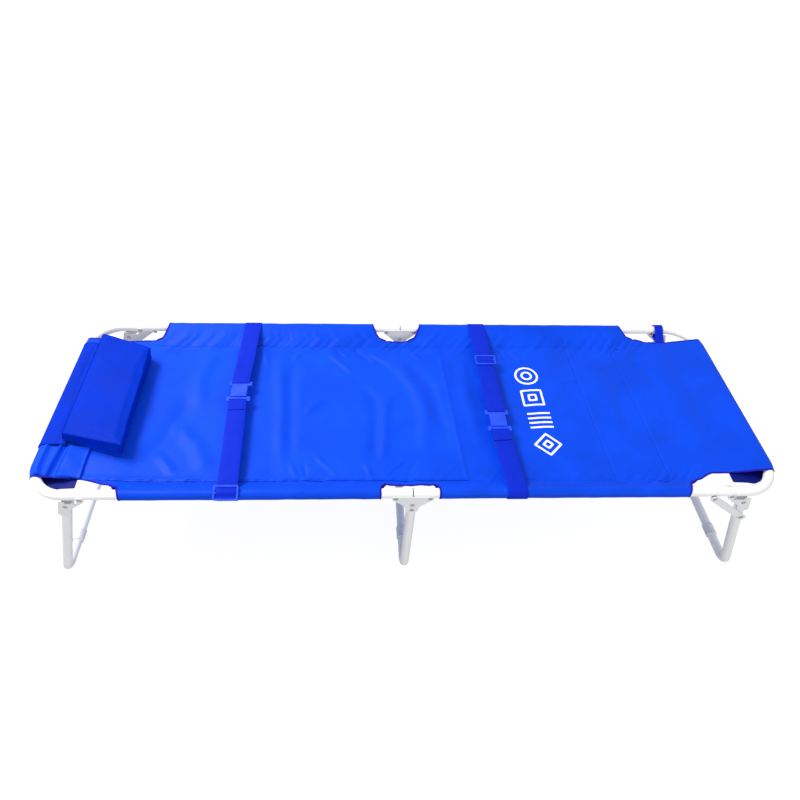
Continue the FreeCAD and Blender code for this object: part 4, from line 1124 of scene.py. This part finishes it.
def strip_height(x, y):
    """Height of the folded cloth above the end sleeve: two ridges and a wide fold with a crisp edge."""
    lean = 0.10 * (y + 0.265) + 0.0016 * wander(y, 17, 41)
    ridges = sum(height * np.exp(-((x - crest - lean * share) / spread) ** 2)
                 for share, (crest, spread, height) in zip(RIDGE_LEANS, STRIP_RIDGES))
    start, slope, high = STRIP_FOLD
    inner = STRIP_X[1] + 0.0010 * wander(y, 40, 43)
    fold = high * smooth(x, start + lean * 0.6, start + slope + lean * 0.6)
    fold *= (1 - 0.35 * smooth(x, start + slope, inner)) * (1 + 0.14 * wander(y + x, 24, 45))
    fold *= np.clip((inner - x) / 0.0016, 0, 1) ** 0.5
    near = STRIP_Y[0] + 0.0035 + 0.0026 * wander(x, 42, 47) + 0.004 * smooth(-x, 0.872, 0.912)
    end = np.clip((y - near) / 0.0030, 0, 1) ** 0.5
    return (0.0010 * smooth(x, STRIP_X[0], STRIP_X[0] + 0.004) + np.maximum(ridges, fold)) * end


def end_sleeve_top(x):
    """Height of the cloth's top on the end sleeve, at |x|."""
    return H - 0.0009 + 0.14 * np.clip(x - END_SEAM, 0, END_X - END_SEAM)


def build_strip():
    """Folded cloth that lies on the head end between the pillow and the near rail."""
    ys = spaced(*STRIP_Y, 0.0030, ((-0.260, 0.006, 0.0008),))
    xs = spaced(STRIP_X[0] - 0.002, STRIP_X[1] + 0.002, 0.0014, ((STRIP_X[1], 0.002, 0.0004),))
    x, y = np.meshgrid(xs, ys)
    height = strip_height(x, y)
    follow = bend_shift(y) * smooth(-x, 0.885, 0.930)
    grid = np.stack([x + follow, y, end_sleeve_top(-x) + 0.0006 + height], -1)
    made = grid_object("folded_strip", grid, MAT["sheet_fabric"])
    edit = bmesh.new()
    edit.from_mesh(made.data)
    flat = [vertex for vertex, high in zip(edit.verts, height.ravel()) if high <= STRIP_FLAT]
    bmesh.ops.delete(edit, geom=flat, context="VERTS")
    edit.to_mesh(made.data)
    edit.free()
    thicken(made, 0.0008, -1.0)
    dress(made, "head_half", "sheet_fabric", "head_strip")


# ---- belts

WEB = 0.0015
WEB_WIDTH = 0.050
BELT_R = 0.01545  # bend of a belt round a rail, to the middle of the webbing
BELT_Z = H + BELT_R
BAR_IN = 0.0025  # from a buckle part's outer edge to the middle of its webbing bar
BAR_WRAP_R = 0.0034  # of the webbing round that bar


class Belt:
    """Where one belt and its buckle sit; x of its centre at the far rail, the buckle and the near rail."""

    def __init__(self, name, body, centres):
        self.name, self.body, self.tongue_body = name, body, f"{name}_tongue"
        self.far_x, self.near_x = centres
        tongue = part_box(f"{name}_buckle_tongue")
        self.x = (tongue[0].x + tongue[1].x) / 2
        self.tongue_y = tongue[1].y
        self.socket_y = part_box(f"{name}_buckle_socket")[0].y
        self.tab_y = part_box(f"{name}_belt_tab")[1].y
        self.tongue_bar = self.tongue_y - BAR_IN
        self.socket_bar = self.socket_y + BAR_IN

    def centre(self, y):
        up = np.clip((y - self.tongue_y) / (RAIL_Y - self.tongue_y), 0, 1) * (self.far_x - self.x)
        down = np.clip((self.socket_y - y) / (RAIL_Y + self.socket_y), 0, 1) * (self.near_x - self.x)
        return self.x + up + down

    def path(self, points, seed, wave=0.0):
        """x, y, z of a belt line from y, z points; its top waves a little between the rails."""
        y, z = np.array(points, float).T
        on_top = (z > H) * (1 - smooth(np.abs(y), RAIL_Y - 0.10, RAIL_Y - 0.05))
        return np.stack([self.centre(y), y, z + wander(y, 14, seed) * wave * on_top], -1)


def straight(y_from, y_to, z, step=0.006):
    return [(y, z) for y in np.linspace(y_from, y_to, max(2, int(abs(y_to - y_from) / step)))]


def round_bar(bar, direction):
    """Webbing round a buckle's bar, from above the bar to below it; direction is the outer side."""
    turns = [math.radians(a) for a in np.linspace(-20, 200, 14)]
    return [(bar + direction * BAR_WRAP_R * math.sin(a), BELT_Z + BAR_WRAP_R * math.cos(a)) for a in turns]


def belt_loop(belt):
    """From the socket bar over the near rail, under the bed and up round the far rail."""
    under = H - BELT_R - 0.0012
    run = straight(belt.socket_bar - 0.006, -RAIL_Y, BELT_Z)
    near = arc((-RAIL_Y, H), BELT_R, 90, 270, 22)[1:-1]
    bottom = [(y, under - 0.0016 * (1 - (y / RAIL_Y) ** 2)) for y in np.linspace(-RAIL_Y, RAIL_Y, 80)]
    far = arc((RAIL_Y, H), BELT_R, -90, 90, 22)[1:]
    path = belt.path(run + near + bottom + far, 51 if belt.name == "chest" else 52, 0.0012)
    made = ribbon(f"{belt.name}_belt", path, WEB_WIDTH, WEB, MAT["webbing"])
    dress(made, belt.body, "webbing", f"{belt.name}_belt_webbing")


def socket_wrap(belt):
    """The webbing round the socket's bar, its sewn-down end on top."""
    bar = belt.socket_bar
    line = [(bar - 0.034, BELT_Z + 0.0020), (bar - 0.02, BELT_Z + 0.0024), (bar - 0.008, BELT_Z + 0.0032)]
    line += round_bar(bar, 1)
    line += [(bar - 0.006, BELT_Z - 0.0022), (bar - 0.012, BELT_Z - 0.0012)]
    made = ribbon(f"{belt.name}_belt_wrap", belt.path(resample(line, 40), 53), WEB_WIDTH - 0.001, 0.0013,
                  MAT["webbing"])
    dress(made, belt.body, "webbing")


def tongue_run(belt):
    """From the far rail to the tongue."""
    path = belt.path(straight(RAIL_Y, belt.tongue_bar + 0.010, BELT_Z), 54, 0.0010)
    made = ribbon(f"{belt.name}_belt_end", path, WEB_WIDTH, WEB, MAT["webbing"])
    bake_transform(made)


def tongue_tab(belt):
    """The sewn belt end round the tongue's bar."""
    bar, end = belt.tongue_bar, belt.tab_y
    line = [(end, BELT_Z + 0.0019), (end - 0.03, BELT_Z + 0.0021), (bar + 0.010, BELT_Z + 0.0030)]
    line += round_bar(bar, -1)
    line += [(bar + 0.006, BELT_Z - 0.0024), (bar + 0.014, BELT_Z - 0.0014)]
    made = ribbon(f"{belt.name}_belt_tab_web", belt.path(resample(line, 54), 55), WEB_WIDTH - 0.0008, 0.0014,
                  MAT["webbing"])
    dress(made, belt.tongue_body, "webbing", f"{belt.name}_belt_tab")


BOX_PITCH, BOX_WIDE = 0.0035, 0.00035  # from stitch to stitch on a belt end, and half a stitch's width


def box_stitches(belt, name, y_low, y_high, lift, body):
    """A sewn rectangle with a cross on a doubled end of the webbing."""
    level = BELT_Z + lift
    w = WEB_WIDTH / 2 - 0.005
    corners = [(-w, y_low), (w, y_low), (w, y_high), (-w, y_high), (-w, y_low), (w, y_high)]
    lines = [*zip(corners[:-1], corners[1:]), ((-w, y_high), (w, y_low))]
    parts = []
    for (ax, ay), (bx, by) in lines:
        start, along = np.array([belt.x + ax, ay, level]), np.array([bx - ax, by - ay, 0.0])
        length = math.hypot(bx - ax, by - ay)
        for k in range(int(length / BOX_PITCH)):
            t0, t1 = (k + 0.15) * BOX_PITCH / length, (k + 0.8) * BOX_PITCH / length
            parts.append(stitch(start + along * t0, start + along * t1, BOX_WIDE))
    dress(joined(f"{belt.name}_{name}_stitches", parts, MAT["thread"]), body, "webbing")


def slider_hump(belt, body, lean, centre_y):
    """Webbing that rises through a slide's slots over its middle bar; lean turns it round the rail's axis."""
    angle = math.radians(lean)
    low, high = BELT_R + 0.0017, BELT_R + 0.0050
    path = []
    for d in np.linspace(-0.0135, 0.0135, 25):
        level = low + (high - low) * (0.5 + 0.5 * math.cos(math.pi * min(1, abs(d) / 0.0105)))
        path.append((float(belt.centre(centre_y)), centre_y + d * math.cos(angle) - level * math.sin(angle),
                     H + d * math.sin(angle) + level * math.cos(angle)))
    made = ribbon(f"{belt.name}_slider_web", np.array(path), WEB_WIDTH - 0.0016, 0.0014, MAT["webbing"])
    dress(made, body, "webbing")


def build_belts():
    """Both belts, each with its webbing, sewn ends and slide."""
    chest = Belt("chest", "head_half", (-0.458, -0.454))
    leg = Belt("leg", "foot_half", (0.240, 0.260))
    for belt in (chest, leg):
        belt_loop(belt)
        socket_wrap(belt)
        tongue_run(belt)
        tongue_tab(belt)
        box_stitches(belt, "tab", belt.tongue_bar + 0.020, belt.tab_y - 0.004, 0.0028, belt.tongue_body)
        box_stitches(belt, "wrap", belt.socket_bar - 0.032, belt.socket_bar - 0.016, 0.0029, belt.body)
    slider_hump(chest, "chest_slider", 22, -RAIL_Y)
    slider_hump(leg, "leg_slider", 0, 0.148)


def build_carry_loop():
    """The webbing loop round the far rail at the foot end."""
    low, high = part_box("carry_loop")
    points = [(0.246, H - 0.0060), (0.262, H - 0.0035), (0.279, H + 0.0035), (0.292, H + 0.0112)]
    turns = [math.radians(a) for a in np.linspace(105, -98, 26)]
    points += [(RAIL_Y + 0.0012 + 0.0160 * math.cos(a), H + 0.0004 + 0.0152 * math.sin(a)) for a in turns]
    points += [(0.285, H - 0.0135), (0.266, H - 0.0100), (0.246, H - 0.0078)]
    y, z = resample(points, 70).T
    path = np.stack([(low.x + high.x) / 2 + (y - RAIL_Y) * 0.10, y, z], -1)
    made = ribbon("carry_loop_web", path, high.x - low.x, 0.0014, MAT["webbing"])
    dress(made, "foot_half", "webbing", "carry_loop")


# ---- CAD finishes

def paint_cad():
    """Procedural finish for every CAD node, chosen by the material slot it came with."""
    for made in NODES.values():
        key = made.data.materials[0].name.split(".")[0] if made.data.materials else ""
        if key not in MAT:
            raise RuntimeError(f"{made.name} has no finish: {key!r}")
        made.data.materials[0] = MAT[key]


# ---- floor, light, camera

FLOOR_HALF, FLOOR_ROWS = 9.0, 40
FLOOR_GLOW = (0.37, 0.90)  # emission for light that reaches the object, and for the camera


def build_stage():
    """A white floor that glows a little for the camera, so that shadows on it stay pale."""
    span = np.linspace(-FLOOR_HALF, FLOOR_HALF, FLOOR_ROWS)
    x, y = np.meshgrid(span, span)
    s = Shader("studio_floor")
    tone = s.mix(s.ramp(s.noise(1.3), 0.0, 1.0, 0.3, 0.7), (0.20, 0.20, 0.20), (0.21, 0.21, 0.21))
    seen = s.add("ShaderNodeLightPath").outputs["Is Camera Ray"]
    s.set(Base_Color=tone, Roughness=0.9, Specular_IOR_Level=0.0,
          Emission_Color=(1.0, 1.0, 1.0), Emission_Strength=s.ramp(seen, *FLOOR_GLOW))
    grid_object("studio_floor", np.stack([x, y, np.zeros_like(x)], -1), s.material)


def area_light(name, place, target, size, watts):
    lamp = bpy.data.lights.new(name, "AREA")
    lamp.shape = "RECTANGLE"
    lamp.size, lamp.size_y = size
    lamp.energy = watts
    made = bpy.data.objects.new(name, lamp)
    made.location = place
    made.rotation_mode = "QUATERNION"
    made.rotation_quaternion = (Vector(target) - Vector(place)).to_track_quat("-Z", "Y")
    bpy.context.scene.collection.objects.link(made)


SURROUND = 0.66  # brightness of the white all round


def build_light():
    """Soft studio light: a white surround, a key above the head side and a weak fill from the near side."""
    world = bpy.data.worlds.new("studio")
    world.use_nodes = True
    surround = world.node_tree.nodes["Background"]
    surround.inputs["Color"].default_value = (1, 1, 1, 1)
    surround.inputs["Strength"].default_value = SURROUND
    bpy.context.scene.world = world
    area_light("key", place=(-2.4, 0.9, 3.4), target=(0, 0, 0.35), size=(1.7, 1.4), watts=150)
    area_light("fill", place=(0.9, -2.6, 1.5), target=(0, 0, 0.2), size=(2.4, 2.0), watts=20)
    bpy.context.scene.view_settings.view_transform = "Standard"


SENSOR, FOCAL = 36.0, 27.70  # mm
LENS_SHIFT = (0.0264, -0.0250)
CAMERA_PLACE = (-0.1509, -1.1594, 1.6784)
CAMERA_RIGHT = Vector((0.99905, -0.02863, 0.03276))
CAMERA_UP = Vector((-0.00213, 0.71988, 0.69409))


def build_camera():
    """The camera that the photo was taken with, as fitted to the frame's corners."""
    lens = bpy.data.cameras.new("camera")
    lens.sensor_fit = "HORIZONTAL"
    lens.sensor_width = SENSOR
    lens.lens = FOCAL
    lens.shift_x, lens.shift_y = LENS_SHIFT
    lens.clip_start, lens.clip_end = 0.05, 60
    made = bpy.data.objects.new("camera", lens)
    axes = Matrix((CAMERA_RIGHT, CAMERA_UP, CAMERA_RIGHT.cross(CAMERA_UP)))
    made.matrix_world = Matrix.Translation(CAMERA_PLACE) @ axes.transposed().to_4x4()
    bpy.context.scene.collection.objects.link(made)
    bpy.context.scene.camera = made


paint_cad()
build_sheet()
build_marks()
build_pillow()
build_flap()
build_strip()
build_belts()
build_carry_loop()
build_stage()
build_light()
build_camera()
